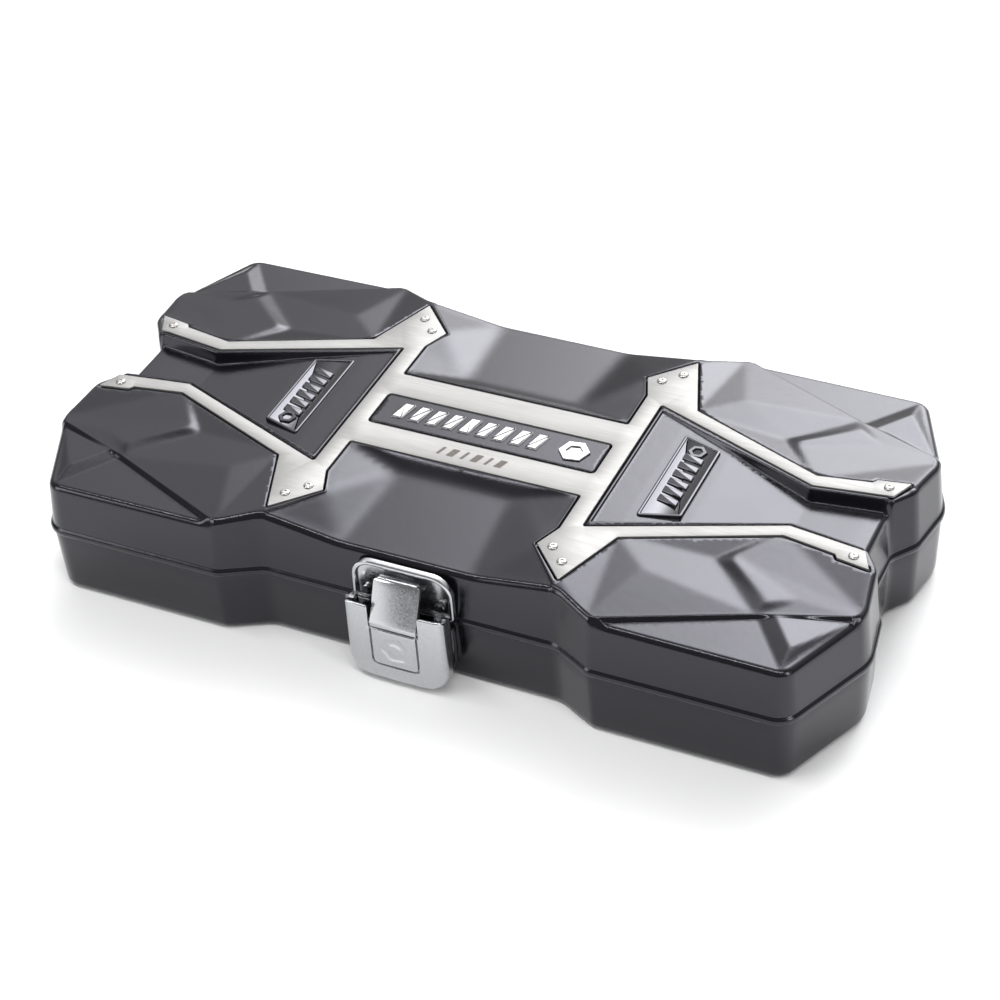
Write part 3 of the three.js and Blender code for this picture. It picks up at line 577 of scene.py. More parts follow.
def lid_height(points):
    """Height of the lid's upper surface at (x, y).

    The inner folded sheet, lowered past the crease to the outer one, cut by the channels and the
    scoops, and pressed down by the recess of the trim plate. Each step is a smoothstep of the
    distance from its line.
    """
    quadrant = np.abs(points)
    height = folded(quadrant, *sheet_of(INNER, INNER_FACETS), INNER_SOFT)
    outer = folded(quadrant, *sheet_of(OUTER, OUTER_FACETS), OUTER_SOFT)
    distance, side = segment_distance(quadrant, CREASE, False)
    height += (outer - height) * smoothstep(distance * side / STEP_WIDTH)
    along = quadrant[:, 0]
    floor = np.interp(along, *CHANNEL_FLOOR)
    depth = depth_in(quadrant, CHANNEL)
    height += (floor - height) * smoothstep(depth / wall_width(along))
    dip = folded(quadrant, *sheet_of(DIP, DIP_FACETS), DIP_SOFT)
    in_scoop = depth_in(quadrant, SCOOP)
    height += (np.minimum(dip, height) - height) * smoothstep(in_scoop / SCOOP_STEP)
    pressed = depth_in(quadrant, PLATE_LINE)
    window = depth_in(quadrant, PANEL_LINE)
    within = smoothstep((pressed + RECESS_STEP[1]) / (RECESS_STEP[1] - RECESS_STEP[0]))
    within *= smoothstep((WINDOW_STEP[1] - window) / (WINDOW_STEP[1] - WINDOW_STEP[0]))
    height -= (height + RECESS) * within
    return PLATE_TOP + height


def lid_lines():
    """Lines of the first quadrant that the mesh of the lid's top follows."""
    lines = [shift_line(CREASE, g) for g in (-0.4, 0, 0.25, 0.5, 0.75, 1.0, 1.25, STEP_WIDTH)]
    wall = dense(CHANNEL[3:], WALL_SPACING)
    cross = np.array([[50.6, 31.8], [50.6, -5]])
    lines += [shift_line(wall, wall_width(wall[:, 0]) * t) for t in (0, 0.25, 0.5, 0.75, 1.0)]
    lines += [cross + [wall_width(50.6) * t, 0] for t in (0, 0.35, 0.7, 1.1)]
    edge = np.array([[-5, 21.0], [41.8, 21.0], [41.8, 38.4], [37.9, 48.0], [51.6, 63.6], [53, 80]])
    lines += [shift_line(edge, g) for g in (0, SCOOP_STEP / 2, SCOOP_STEP)]
    lines += [shift_line(np.array([table[a][:2], table[b][:2]], float), g)
              for table, a, b in FOLDS for g in (-0.9, 0, 0.9)]
    for g in (RECESS_STEP[0], sum(RECESS_STEP) / 2, RECESS_STEP[1]):
        ring = PLATE_LINE + PLATE_NORMALS * g
        lines.append(np.vstack([ring, ring[:1]]))
    for g in (WINDOW_STEP[0], sum(WINDOW_STEP) / 2, WINDOW_STEP[1]):
        ring = PANEL_LINE - PANEL_NORMALS * g
        lines.append(np.vstack([ring, ring[:1]]))
    return lines


def four_times(points, faces):
    """A first-quadrant mesh and its three mirror images, faces kept the right way round."""
    all_points, all_faces = [], []
    for k, (sx, sy) in enumerate([(1, 1), (-1, 1), (-1, -1), (1, -1)]):
        all_points.append(points * [sx, sy, 1])
        turned = faces[:, ::-1] if sx * sy < 0 else faces
        all_faces.append(turned + k * len(points))
    return np.concatenate(all_points), np.concatenate(all_faces)


EDGE_RADIUS = 2.4  # where the wall turns into the top
WALL_TOP, WALL_FOOT = 2.3, 1.0  # how far the wall stands in from the rim
SHEET = 1.1
# The lip from the inside round the bead: (inset from the rim, height above the parting line).
BEAD = [(1.9, 0.1), (0.6, 0.1), (0.15, 0.35), (0.03, 0.9), (0.03, 1.6), (0.15, 2.15), (0.55, 2.55),
        (0.9, 2.75), (1.0, 3.1)]


def lid_side(outline, normals):
    """Rows of points of the lid's side, from the inside of its top edge down, round the lip, and up again.

    Each row is the rim moved inwards along its normals. The outside goes over the bead and up the wall,
    which leans in evenly, to a top edge that is a quarter circle below the upper surface.
    """
    def at(inset, z):
        return np.column_stack([outline - normals * inset, np.broadcast_to(z, len(outline))])

    crown = lid_height(outline - normals * (WALL_TOP + 0.5))
    border = outline - normals * (WALL_TOP + EDGE_RADIUS)
    border_top = lid_height(border)
    foot = PARTING + BEAD[-1][1]
    grid = [np.column_stack([border, border_top - SHEET]), at(WALL_TOP + 1.5, crown - SHEET - 0.5)]
    for t in np.linspace(0, 1, 6):
        grid.append(at(WALL_TOP + 1.0 - 1.3 * t, (crown - SHEET - 1.5) * (1 - t) + (PARTING + 0.1) * t))
    grid += [at(inset, PARTING + z) for inset, z in BEAD]
    for t in np.linspace(0, 1, 9)[1:]:
        grid.append(at(WALL_FOOT + (WALL_TOP - WALL_FOOT) * t, foot + (crown - EDGE_RADIUS - foot) * t))
    for angle in np.linspace(0, math.pi / 2, 8)[1:]:
        rise = math.sin(angle)
        top = border_top * rise ** 4 + crown * (1 - rise ** 4)
        grid.append(at(WALL_TOP + EDGE_RADIUS * (1 - math.cos(angle)), top - EDGE_RADIUS * (1 - rise)))
    return np.array(grid)


def slope_normals(points, height_of, step=0.12):
    """Unit normals of a height field, from its differences over step millimetres either way."""
    across = (height_of(points + [step, 0]) - height_of(points - [step, 0])) / (2 * step)
    along = (height_of(points + [0, step]) - height_of(points - [0, step])) / (2 * step)
    normal = np.column_stack([-across, -along, np.ones(len(points))])
    return normal / np.linalg.norm(normal, axis=1)[:, None]


def lid():
    """The lid: the side rows all round, and the folded top and its underside within them."""
    outline, normals = rounded(RIM, 1.1, arc_steps=10)
    side = lid_side(outline, normals)
    rim = side[-1][:, :2]
    border = rim[(rim[:, 0] > -1e-6) & (rim[:, 1] > -1e-6)]
    border = border[np.argsort(np.arctan2(border[:, 1] / 76, border[:, 0] / 149))]
    axes = dense(np.array([[0, border[-1][1]], [0, 0], [border[0][0], 0]]), TOP_SPACING)
    ring = np.vstack([border, axes[1:-1]])
    flat, faces = region_mesh(ring, lid_lines(), TOP_SPACING)
    height, top_normals = lid_height(flat), slope_normals(flat, lid_height)
    points, all_faces = four_times(np.column_stack([flat, height]), faces)
    facing, _ = four_times(top_normals, faces)
    side_points, side_faces = stack(side, cap_low=False, cap_high=False)
    parts = [(points, all_faces), (points - [0, 0, SHEET], all_faces[:, ::-1]), (side_points, side_faces)]
    whole, whole_faces = joined(parts)
    whole_normals = np.concatenate([facing, -facing, grid_normals(side).reshape(-1, 3)])
    piece = piece_of("lid_skin", whole, whole_faces, PAINT, whole_normals)
    place(piece, "lid", "case_paint", "lid_shell")


def base():
    """The base: up the inside of the wall, over its edge, down the outside and round to the flat bottom."""
    outline, normals = rounded(RIM, 1.6, arc_steps=8)
    top, shoulder, foot, turn = high("base_shell")[2], 1.0, 1.85, 3.2
    rows = [(5.5, 1.0), (4.2, 1.3), (3.1, 3.2), (2.0, top - 0.4), (1.85, top - 0.1), (1.6, top), (1.25, top)]
    rows += [(1.05, top - 0.15), (shoulder, top - 0.5)]
    for t in np.linspace(0, 1, 6)[1:]:
        rows.append((shoulder + (foot - shoulder) * t, top - 0.5 - (top - 0.5 - turn) * t))
    for angle in np.linspace(0, math.pi / 2, 8)[1:]:
        rows.append((foot + turn * (1 - math.cos(angle)), turn * (1 - math.sin(angle))))
    rings = [np.column_stack([outline - normals * inset, np.full(len(outline), z)]) for inset, z in rows]
    points, faces = stack(np.array(rings)[::-1])
    piece = piece_of("base_skin", points, faces, PAINT, crease_angle=50)
    place(piece, "base", "case_paint", "base_shell")


# ---------------------------------------------------------------- trim, rivets and badges

def trim():
    """The trim plate: a sheet with a window and a fine bevel round its upper edges."""
    outer, outer_normals = rounded(PLATE, 6, arc_steps=3)
    window, window_normals = rounded(PANEL[::-1], 6, arc_steps=5)
    rows = [(0, PLATE_UNDER), (0, PLATE_TOP - 0.16), (0.05, PLATE_TOP - 0.05), (0.16, PLATE_TOP)]
    parts, rings = [], []
    for line, facing in ((outer, outer_normals), (window, window_normals)):
        rings.append([line - facing * inset for inset, _ in rows])
        levels = [np.column_stack([flat, np.full(len(line), z)]) for flat, (_, z) in zip(rings[-1], rows)]
        parts.append(stack(levels, False, False))
    for k, z in ((-1, PLATE_TOP), (0, PLATE_UNDER)):
        both = np.concatenate([rings[0][k], rings[1][k]])
        split = len(rings[0][k])
        edges = [[n, (n + 1) % split] for n in range(split)]
        edges += [[split + n, split + (n + 1) % len(rings[1][k])] for n in range(len(rings[1][k]))]
        flat, _, faces, _, _, _ = delaunay_2d_cdt([Vector(p) for p in both], edges, [], 0, 1e-5)
        flat = np.array([tuple(v) for v in flat])
        faces = np.array([face for face in faces if len(face) == 3])
        middle = flat[faces].mean(axis=1)
        faces = faces[inside(middle, rings[0][k]) & ~inside(middle, rings[1][k])]
        parts.append((np.column_stack([flat, np.full(len(flat), z)]), faces if k else faces[:, ::-1]))
    piece = piece_of("trim_sheet", *joined(parts), TRIM)
    place(piece, "lid", "trim_steel", "trim_plate")


def rivets():
    """Twelve blind rivets: a domed flange round the dimpled end of the hollow body, and the shank."""
    names = [f"trim_rivet_{k}" for k in range(1, 13)]
    parts = []
    for name in names:
        low_corner, high_corner = low(name), high(name)
        centre = (low_corner + high_corner) / 2
        centre[2] = PLATE_TOP
        depth = low_corner[2] - PLATE_TOP
        profile = [(0.9, depth), (0.9, 0.02), (1.72, 0.02), (1.75, 0.1), (1.68, 0.28), (1.45, 0.46),
                   (1.1, 0.62), (0.85, 0.68), (0.68, 0.66), (0.58, 0.5), (0.5, 0.3), (0.25, 0.26), (0, 0.26)]
        parts.append(turned(profile, centre, "z", 24))
    piece = piece_of("trim_rivets", *joined(parts), RIVET, crease_angle=50)
    place(piece, "lid", "trim_steel", *names)


def slanted(x, y, width, height, lean):
    """Corners of an upright parallelogram about (x, y), its top moved right by lean."""
    w, h, k, radius = width / 2, height / 2, lean / 2, 0.3
    sides = [(-w - k, -h), (w - k, -h), (w + k, h), (-w + k, h)]
    return np.array([[x + dx, y + dy, radius] for dx, dy in sides])


def hexagon(x, y, reach):
    """Corners of a hexagon about (x, y), reach from the middle to a corner."""
    angle = np.radians(np.arange(6) * 60 + 10)
    return np.column_stack([x + reach * np.cos(angle), y + reach * np.sin(angle), np.full(6, 0.3)])


def name_panel():
    """Raised pattern in the window of the trim plate: a row of slanted ribs and a nut."""
    z = NAME_PANEL_TOP
    rise = [(0, z - 0.2), (0.05, z + 0.05), (0.45, z + 0.4), (0.65, z + 0.48)]
    parts = [pad(slanted(-32.5 + 6.3 * k, 0.4, 4.4, 8.6, 2.0), rise) for k in range(9)]
    parts += [nut_ring(31.5, 0, 5.6, z)]
    piece = piece_of("name_panel_ribs", *joined(parts), BRIGHT_RIB, crease_angle=15)
    place(piece, "lid", "trim_steel")


def nut_ring(x, y, reach, z):
    """Raised hexagon with a hollow middle."""
    outer, outer_normals = rounded(hexagon(x, y, reach), 4, 3)
    inner = np.array([x, y]) + (outer - [x, y]) * 0.52
    rows = [(outer, z - 0.2), (outer, z + 0.25), (outer - outer_normals * 0.25, z + 0.48),
            (inner + outer_normals * 0.2, z + 0.48), (inner, z + 0.25),
            (inner - outer_normals * 0.05, z - 0.1)]
    return stack([np.column_stack([line, np.full(len(line), height)]) for line, height in rows])


def badges():
    """A raised block on the floor of each channel, its top level, with a frame, ribs and a nut on it."""
    parts = []
    z = PLATE_TOP - 0.55
    for side in (1, -1):
        corners = np.array([[62.5, -23.0, 1.2], [77.0, -18.5, 1.2], [77.0, 18.5, 1.2], [62.5, 23.0, 1.2]])
        corners = corners if side > 0 else (corners * [-1, 1, 1])[::-1]
        parts.append(pad(corners, [(0, z - 3.4), (0.15, z - 0.35), (0.25, z - 0.1), (0.5, z),
                                   (1.1, z), (1.25, z - 0.1), (1.35, z - 0.35), (1.5, z - 0.4)]))
        for k in range(6):
            rib = slanted(-12 + 4.6 * k, 0, 3.0, 7.2, 1.6)
            rib = np.column_stack([side * (69.75 - rib[:, 1]), side * rib[:, 0], rib[:, 2]])
            parts.append(pad(rib, [(0, z - 0.6), (0, z - 0.1), (0.15, z + 0.1), (0.4, z + 0.15)]))
        parts.append(nut_ring(side * 69.75, side * 15.2, 3.4, z - 0.35))
    piece = piece_of("channel_badges", *joined(parts), PAINT_SMOOTH)
    place(piece, "lid", "case_paint")


def printed_marks():
    """A row of slanted strokes printed on the front bar of the trim plate."""
    z = PLATE_TOP
    marks = []
    for k in range(6):
        stroke = slanted(-11 + 4.4 * k, -14.6, 2.6 if k % 2 else 1.2, 4.2, 1.4)
        marks.append(pad(stroke, [(0, z - 0.1), (0, z + 0.02)]))
    piece = piece_of("printed_marks", *joined(marks), PRINT)
    place(piece, "lid", "case_paint")


# ---------------------------------------------------------------- latch

def facing_front(flat, depth):
    """Points (x, z) of a plane that faces -Y, at the given y."""
    return np.column_stack([flat[:, 0], np.broadcast_to(depth, len(flat)), flat[:, 1]])


def lever():
    """The latch lever: a cup whose face rolls over into its sides, slotted at the top for the tongue and
    open above, so that it clears the ears when it turns.

    Below the slot a groove outlines a flush panel with a hexagon pressed into it.
    """
    face, back = LATCH_FACE, high("latch_lever")[1]
    bottom, top = low("latch_lever")[2], high("latch_lever")[2]
    half, slot, roll = LATCH_HALF, SLOT_HALF, 2.6
    above, end = top + 2 * roll, top - 1.5
    body = np.array([[-half, bottom, 8.5], [half, bottom, 8.5], [half, above, 3.0], [-half, above, 3.0]])
    rim, rim_normals = rounded(body, 1.2, 10)
    cut = [[-half, bottom, 8.5], [half, bottom, 8.5], [half, end, 1.6], [slot + 0.2, end, 1.0],
           [slot + 0.2, SLOT_BOTTOM, 0.5], [-slot - 0.2, SLOT_BOTTOM, 0.5], [-slot - 0.2, end, 1.0],
           [-half, end, 1.6]]
    ring, _ = rounded(np.array(cut), 1.2, 8)
    w = slot - 0.5
    groove = np.array([[-w, SLOT_BOTTOM - 0.1], [-w, 10.2], [-w + 0.45, 9.05], [-w + 1.6, 8.6],
                       [w - 1.6, 8.6], [w - 0.45, 9.05], [w, 10.2], [w, SLOT_BOTTOM - 0.1]])
    nut = hexagon(0, 16.2, 5.2)[:, :2]
    hole = hexagon(0, 16.2, 2.7)[:, :2]

    def depth_of(points):
        d = np.clip(depth_in(points, rim), 0, roll)
        drop = roll - np.sqrt(np.maximum(roll ** 2 - (roll - d) ** 2, 0))
        drop += (back - face - roll) * (1 - smoothstep(d / 0.3))
        away, _ = segment_distance(points, groove, False)
        drop += 0.8 * (1 - smoothstep((away - 0.2) / 0.25))
        in_nut = smoothstep(depth_in(points, nut) / 0.25)
        drop += 0.22 * in_nut * (1 - smoothstep(depth_in(points, hole) / 0.25))
        drop += 0.0022 * points[:, 0] ** 2
        return face + np.minimum(drop, back - face)

    lines = [rim - rim_normals * inset for inset in (0.1, 0.2, 0.3, 0.5, 0.8, 1.2, 1.7, 2.2, 2.6)]
    lines = [np.vstack([line, line[:1]]) for line in lines]
    lines += [shift_line(groove, g) for g in (-0.45, -0.2, 0.2, 0.45)]
    middle = nut.mean(axis=0)
    for shape in (nut, hole):
        closed = np.vstack([shape, shape[:1]])
        lines += [closed, middle + (closed - middle) * (1 - 0.3 / np.linalg.norm(shape[0] - middle))]
    flat, faces = region_mesh(ring, lines, 0.8)
    face_points = facing_front(flat, depth_of(flat))
    piece = piece_of("latch_cover", face_points, faces.tolist(), CHROME, crease_angle=55)
    thick = piece.modifiers.new("thickness", "SOLIDIFY")
    thick.thickness = 1.1 * MM
    thick.offset = -1
    place(piece, "latch_lever", "bright_plating", "latch_lever")


def keeper():
    """The keeper plate on the lid: dished, with a rolled rim and the lip that the tongue hooks over."""
    face, back = low("latch_keeper_plate")[1], -LID_WALL_Y
    bottom, top = low("latch_keeper_plate")[2], high("latch_keeper_plate")[2]
    half = LATCH_HALF
    corners = np.array([[-half, bottom, 1.6], [half, bottom, 1.6], [half, top, 7.5], [-half, top, 7.5]])
    line, normals = rounded(corners, 3, 10)
    rows = [(0, back + 0.4), (0, face + 0.7), (0.12, face + 0.3), (0.45, face + 0.05), (0.8, face),
            (1.2, face), (1.5, face + 0.12), (1.58, face + 0.4), (1.64, face + 0.95), (1.8, face + 1.1)]
    plate = stack([facing_front(line - normals * inset, y) for inset, y in rows])
    lip_z = TONGUE_TOP - 3.2
    lip = stack([[[x, face + 1.3, lip_z - 0.7], [x, face + 0.15, lip_z - 0.7], [x, face, lip_z - 0.5],
                  [x, face, lip_z + 0.5], [x, face + 0.15, lip_z + 0.7], [x, face + 1.3, lip_z + 0.7]]
                 for x in (-TONGUE_HALF, TONGUE_HALF)])
    piece = piece_of("latch_keeper", *joined([plate, lip]), CHROME)
    place(piece, "lid", "bright_plating", "latch_keeper_plate")


def tongue():
    """The tongue: a bent strip that wraps the link pin, folds over at the top and narrows there."""
    link_y, link_z = LINK
    back = low("latch_keeper_plate")[1] - 0.4
    fold, top, thick = back - 2.4, TONGUE_TOP, 1.2
    section = np.array([
        [link_y - 1.5, link_z - 1.0, 0.7], [link_y - 0.2, link_z - 1.8, 0.9],
        [link_y + 1.3, link_z - 0.8, 0.7],
        [link_y + 1.4, link_z + 1.0, 1.2], [fold + thick, top - thick - 0.1, 0.5], [back, top - thick, 0.3],
        [back, top, 0.3], [fold + 0.5, top, 1.1], [fold - 0.1, top - 1.0, 1.2],
        [link_y - 1.5, link_z + 0.6, 1.0]])
    line, normals = rounded(section, 1.5, 5)
    rows = [(-TONGUE_HALF, 0.3), (-TONGUE_HALF + 0.1, 0.1), (-TONGUE_HALF + 0.3, 0),
            (TONGUE_HALF - 0.3, 0), (TONGUE_HALF - 0.1, 0.1), (TONGUE_HALF, 0.3)]
    folded_over = smoothstep((line[:, 1] - (top - 2.8)) / 2.4) * smoothstep((line[:, 0] - fold + 0.2) / 1.2)
    narrow = 1 - 0.17 * folded_over
    rings = [np.column_stack([x * narrow, line - normals * inset]) for x, inset in rows]
    piece = piece_of("latch_strip", *stack(rings), CHROME)
    place(piece, "latch_tongue", "bright_plating", "latch_tongue")


# ---------------------------------------------------------------- tools in the tray

def sockets():
    """Each socket turned about its axis: rounded shoulders, a grooved band, hexagon and square recesses."""
    for name in NODES:
        if not name.startswith("socket_"):
            continue
        size = int(name.split("_")[1])
        low_corner, high_corner = low(name), high(name)
        centre = (low_corner + high_corner) / 2
        half = (high_corner[1] - low_corner[1]) / 2
        nut_radius = (size * 1.25 + 3.5) / 2
        drive_radius = max(12.0, min(nut_radius, 15.0))
        depth = min(size * 0.75 + 3, 18)
        shoulder = half - 16
        between = (nut_radius + drive_radius) / 2
        nut_end = [(BORE, 0), (BORE, -half + depth), (size / 2, -half + depth, 6), (size / 2, -half + 0.9, 6),
                   (size / 2 + 0.7, -half + 0.1, 6), (nut_radius - 1.0, -half),
                   (nut_radius - 0.3, -half + 0.3), (nut_radius, -half + 1.1), (nut_radius, shoulder - 2.8),
                   (between, shoulder - 1.4)]
        drive_end = [(drive_radius, shoulder), (drive_radius, shoulder + 5.5),
                     (drive_radius - 0.5, shoulder + 6), (drive_radius - 0.5, shoulder + 8.2),
                     (drive_radius, shoulder + 8.7), (drive_radius, half - 1.0),
                     (drive_radius - 0.3, half - 0.3), (drive_radius - 1.0, half), (7.0, half, 4),
                     (DRIVE_HALF, half - 0.7, 4), (DRIVE_HALF, half - 16.5, 4), (BORE, half - 16.5),
                     (BORE, 0)]
        profile = nut_end + drive_end
        points, faces = turned(profile[::-1], centre, "y", 48)
        faces = [face for face in faces if len(face) == 4]
        piece = piece_of(name + "_finish", points, faces, PHOSPHATE)
        place(piece, "base", "dark_phosphate", name)


def extension():
    """The extension bar: socket end with its recess, tapered neck, shank and the square end with its ball."""
    low_corner, high_corner = low("extension_bar"), high("extension_bar")
    centre = (low_corner + high_corner) / 2
    start, end = low_corner[0] - centre[0], high_corner[0] - centre[0]
    profile = [(0, start + 15.8), (BORE, start + 15.8), (DRIVE_HALF, start + 15.6, 4),
               (DRIVE_HALF, start + 0.7, 4), (7.0, start, 4), (11.0, start), (11.7, start + 0.3),
               (12, start + 1.0), (12, start + 22), (11.6, start + 24), (8.2, start + 30), (7.4, start + 32),
               (7.4, end - 17.5), (7.2, end - 16.6), (DRIVE_HALF, end - 16.2, 4), (DRIVE_HALF, end - 1.2, 4),
               (DRIVE_HALF - 0.9, end, 4), (0, end)]
    bar = turned(profile, centre, "x", 48)
    ball = turned([(1.9 * math.sin(a), -1.9 * math.cos(a)) for a in np.linspace(0, math.pi, 9)],
                  centre + [end - 8, 0, DRIVE_HALF - 0.9], "z", 20)
    piece = piece_of("extension_finish", *joined([bar, ball]), PHOSPHATE)
    place(piece, "base", "dark_phosphate", "extension_bar")


def grip():
    """The ratchet's grip: rings of grooves between two smooth collars, swelling a little at each end."""
    low_corner, high_corner = low("ratchet_grip"), high("ratchet_grip")
    centre = (low_corner + high_corner) / 2
    half = (high_corner[0] - low_corner[0]) / 2
    radius = (high_corner[2] - low_corner[2]) / 2
    profile = [(5.2, -half + 0.3), (radius - 2.6, -half), (radius - 1.9, -half + 0.5),
               (radius - 0.4, -half + 4.5), (radius - 0.05, -half + 7)]
    along = np.linspace(-half + 14, half - 16, 22)
    for x in along:
        profile += [(radius - 0.1, x - 1.5), (radius - 0.9, x - 1.0), (radius - 1.0, x),
                    (radius - 0.9, x + 1.0), (radius - 0.1, x + 1.5)]
    profile += [(radius - 0.05, half - 9), (radius - 0.4, half - 4.5), (radius - 2.0, half - 1.2),
                (radius - 3.2, half), (0, half)]
    points, faces = turned(profile, centre, "x", 40)
    piece = piece_of("ratchet_grip_sleeve", points, faces, RUBBER, crease_angle=60)
    place(piece, "base", "grip_rubber", "ratchet_grip")


# ---------------------------------------------------------------- materials

def material(name, colour, roughness, metallic=0.0, **more):
    """New Principled material with constant sockets set; more is socket name to value."""
    made = bpy.data.materials.new(name)
    made.use_nodes = True
    shader = made.node_tree.nodes["Principled BSDF"]
    shader.inputs["Base Color"].default_value = (*colour, 1)
    shader.inputs["Roughness"].default_value = roughness
    shader.inputs["Metallic"].default_value = metallic
    for socket, value in more.items():
        shader.inputs[socket.replace("_", " ")].default_value = value
    return made, made.node_tree.nodes, made.node_tree.links, shader


def speckle(nodes, links, scale, detail=3.0, stretch=(1, 1, 1)):
    """Noise on object coordinates: scale is in cycles per metre."""
    place = nodes.new("ShaderNodeTexCoord")
    mapping = nodes.new("ShaderNodeMapping")
    noise = nodes.new("ShaderNodeTexNoise")
    mapping.inputs["Scale"].default_value = stretch
    noise.inputs["Scale"].default_value = scale
    noise.inputs["Detail"].default_value = detail
    links.new(place.outputs["Object"], mapping.inputs["Vector"])
    links.new(mapping.outputs["Vector"], noise.inputs["Vector"])
    return noise


def ranged(nodes, links, source, low_value, high_value, low_from=0.3, high_from=0.7):
    """Map Range node from the source's output."""
    node = nodes.new("ShaderNodeMapRange")
    node.inputs["From Min"].default_value = low_from
    node.inputs["From Max"].default_value = high_from
    node.inputs["To Min"].default_value = low_value
    node.inputs["To Max"].default_value = high_value
    links.new(source, node.inputs["Value"])
    return node.outputs["Result"]


def gloss(nodes, links, source, shader, low_value, high_value):
    """Roughness between two values by the source."""
    links.new(ranged(nodes, links, source, low_value, high_value), shader.inputs["Roughness"])


def tint(nodes, links, source, shader, low_colour, high_colour, low_from=0.3, high_from=0.7):
    """Base colour between two colours by the source."""
    ramp = nodes.new("ShaderNodeValToRGB")
    stops = ramp.color_ramp.elements
    stops[0].color, stops[1].color = (*low_colour, 1), (*high_colour, 1)
    links.new(ranged(nodes, links, source, 0, 1, low_from, high_from), ramp.inputs[0])
    links.new(ramp.outputs[0], shader.inputs["Base Color"])


def bumped(nodes, links, source, shader, strength, distance):
    """Bump from a height source into the shader's normal."""
    bump = nodes.new("ShaderNodeBump")
    bump.inputs["Strength"].default_value = strength
    bump.inputs["Distance"].default_value = distance
    links.new(source, bump.inputs["Height"])
    links.new(bump.outputs["Normal"], shader.inputs["Normal"])


COOL_GLOSS = (0.9, 0.89, 1.0, 1)


def case_paint():
    """Black enamel: a fine grain, a faint orange peel and patches that are slightly less glossy."""
    made, nodes, links, shader = material("case_paint", (0.004, 0.004, 0.005), 0.13, Specular_IOR_Level=0.5,
                                          Specular_Tint=COOL_GLOSS)
    grain = speckle(nodes, links, 3200, 2.0)
    peel = speckle(nodes, links, 300, 1.0)
    broad = speckle(nodes, links, 45, 3.0)
    gloss(nodes, links, broad.outputs["Fac"], shader, 0.11, 0.17)
    tint(nodes, links, grain.outputs["Fac"], shader, (0.002, 0.002, 0.003), (0.009, 0.009, 0.011))
    both = nodes.new("ShaderNodeMath")
    both.operation = "MULTIPLY_ADD"
    links.new(peel.outputs["Fac"], both.inputs[0])
    both.inputs[1].default_value = 0.7
    links.new(grain.outputs["Fac"], both.inputs[2])
    bumped(nodes, links, both.outputs[0], shader, 0.3, 0.00009)
    return made


def pressed_paint():
    """The same enamel on the pressed lettering field, smoother, with rubbed high spots."""
    made, nodes, links, shader = material("pressed_paint", (0.008, 0.008, 0.009), 0.1, Specular_IOR_Level=0.7,
                                          Specular_Tint=COOL_GLOSS)
    rub = speckle(nodes, links, 900, 3.0)
    gloss(nodes, links, rub.outputs["Fac"], shader, 0.07, 0.15)
    tint(nodes, links, rub.outputs["Fac"], shader, (0.006, 0.006, 0.0066), (0.012, 0.012, 0.013))
    bumped(nodes, links, rub.outputs["Fac"], shader, 0.12, 0.00004)
    return made


def brushed_trim():
    """Stainless sheet brushed along X: long streaks in colour, gloss and bump, over broad uneven patches."""
    made, nodes, links, shader = material("brushed_trim", (0.3, 0.295, 0.285), 0.5, 1.0)
    streaks = speckle(nodes, links, 900, 4.0, (0.035, 1, 1))
    hair = speckle(nodes, links, 4200, 2.0, (0.03, 1, 1))
    broad = speckle(nodes, links, 28, 2.0)
    gloss(nodes, links, streaks.outputs["Fac"], shader, 0.54, 0.62)
    mix = nodes.new("ShaderNodeMath")
    mix.operation = "MULTIPLY_ADD"
    links.new(broad.outputs["Fac"], mix.inputs[0])
    mix.inputs[1].default_value = 0.6
    links.new(hair.outputs["Fac"], mix.inputs[2])
    tint(nodes, links, mix.outputs[0], shader, (0.31, 0.306, 0.298), (0.375, 0.37, 0.362), 0.6, 1.1)
    bumped(nodes, links, hair.outputs["Fac"], shader, 0.22, 0.00003)
    return made


def bright_metal(name, colour, roughness, grain):
    """Bright plating: a fine haze, faint cloudy patches and small scratches; grain is its bump strength."""
    made, nodes, links, shader = material(name, colour, roughness, 1.0)
    haze = speckle(nodes, links, 1500, 3.0)
    scratch = speckle(nodes, links, 700, 4.0, (1, 1, 0.08))
    gloss(nodes, links, haze.outputs["Fac"], shader, roughness * 0.8, roughness * 1.5)
    darker = tuple(channel * 0.86 for channel in colour)
    tint(nodes, links, haze.outputs["Fac"], shader, darker, colour)
    bumped(nodes, links, scratch.outputs["Fac"], shader, grain, 0.00003)
    return made


def phosphate():
    """Dark phosphated steel: a fine dry crystal grain with paler rubbed patches."""
    made, nodes, links, shader = material("dark_phosphate", (0.035, 0.034, 0.036), 0.42, 0.6)
    grain = speckle(nodes, links, 2600, 4.0)
    rub = speckle(nodes, links, 140, 4.0)
    gloss(nodes, links, rub.outputs["Fac"], shader, 0.34, 0.5)
    tint(nodes, links, rub.outputs["Fac"], shader, (0.028, 0.027, 0.029), (0.06, 0.058, 0.06))
    bumped(nodes, links, grain.outputs["Fac"], shader, 0.35, 0.00006)
    return made


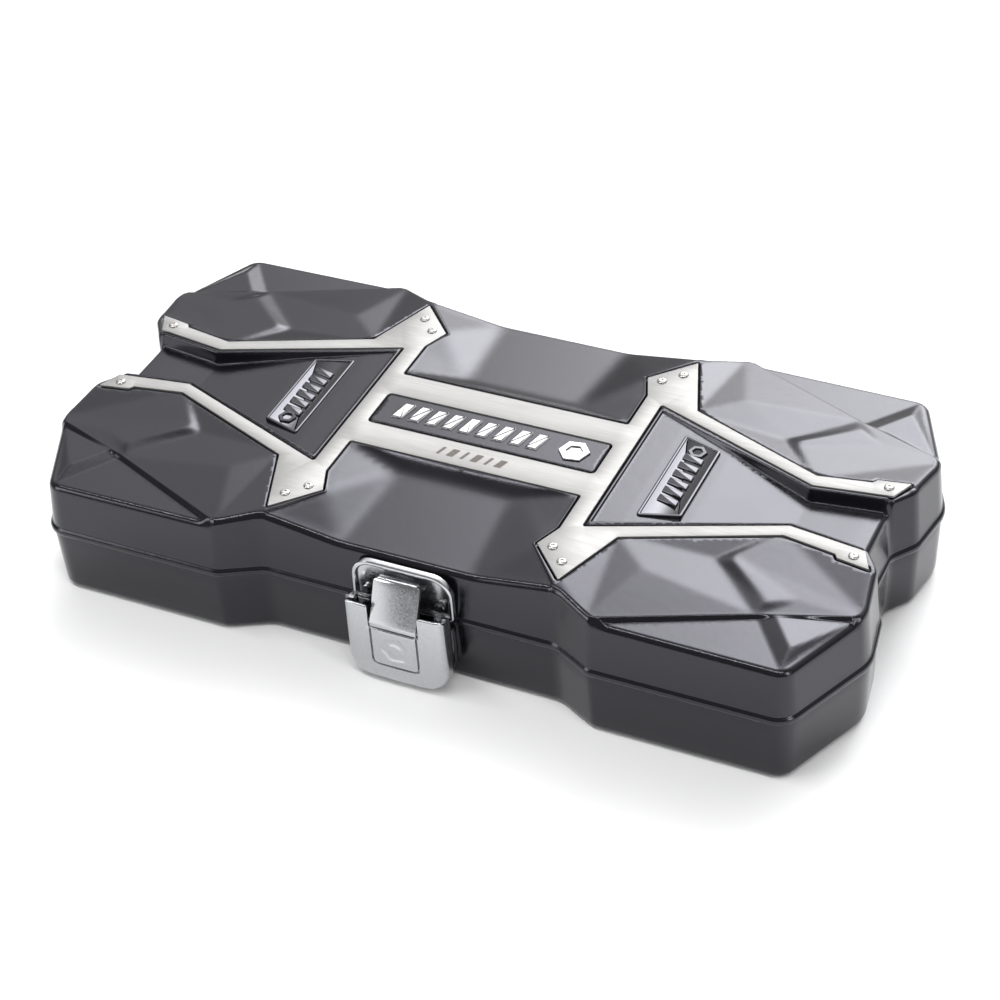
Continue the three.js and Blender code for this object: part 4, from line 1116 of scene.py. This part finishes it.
def moulded(name, colour, roughness, scale, depth):
    """Moulded plastic or rubber: an even pebble grain with slight changes of shade."""
    made, nodes, links, shader = material(name, colour, roughness, Specular_IOR_Level=0.4)
    pebble = speckle(nodes, links, scale, 2.0)
    broad = speckle(nodes, links, 60, 3.0)
    lighter = tuple(channel * 1.7 for channel in colour)
    gloss(nodes, links, broad.outputs["Fac"], shader, roughness * 0.9, roughness * 1.12)
    tint(nodes, links, broad.outputs["Fac"], shader, colour, lighter)
    bumped(nodes, links, pebble.outputs["Fac"], shader, 0.5, depth)
    return made


def ink():
    """Matt dark brown-grey print, thin in places."""
    made, nodes, links, shader = material("print", (0.06, 0.05, 0.04), 0.5)
    thin = speckle(nodes, links, 1800, 3.0)
    tint(nodes, links, thin.outputs["Fac"], shader, (0.045, 0.038, 0.03), (0.11, 0.09, 0.07))
    return made


def floor_paint():
    """White paper sweep."""
    made, nodes, links, shader = material("floor_paper", (0.93, 0.93, 0.93), 0.7)
    fine = speckle(nodes, links, 300, 2.0)
    bumped(nodes, links, fine.outputs["Fac"], shader, 0.02, 0.0002)
    return made


# ---------------------------------------------------------------- assembly

PAINT = case_paint()
PAINT_SMOOTH = pressed_paint()
TRIM = brushed_trim()
RIVET = bright_metal("rivet_head", (0.5, 0.49, 0.47), 0.25, 0.1)
BRIGHT_RIB = bright_metal("bright_rib", (0.5, 0.5, 0.51), 0.2, 0.08)
CHROME = bright_metal("bright_plating", (0.53, 0.535, 0.55), 0.17, 0.4)
PHOSPHATE = phosphate()
PLASTIC = moulded("tray_plastic", (0.012, 0.012, 0.013), 0.55, 2200, 0.00007)
RUBBER = moulded("grip_rubber", (0.014, 0.014, 0.015), 0.62, 1600, 0.0001)
PRINT = ink()
LOOKS = {"case_paint": PAINT, "trim_steel": TRIM, "bright_plating": CHROME, "dark_phosphate": PHOSPHATE,
         "tray_plastic": PLASTIC, "grip_rubber": RUBBER}

add_camera()
add_stage()
lid()
base()
trim()
rivets()
name_panel()
badges()
printed_marks()
lever()
keeper()
tongue()
sockets()
extension()
grip()
for part in frame["record"]["subparts"]:
    for socket in NODES[part["node"]].material_slots:
        socket.material = LOOKS[part["material_slot"]]
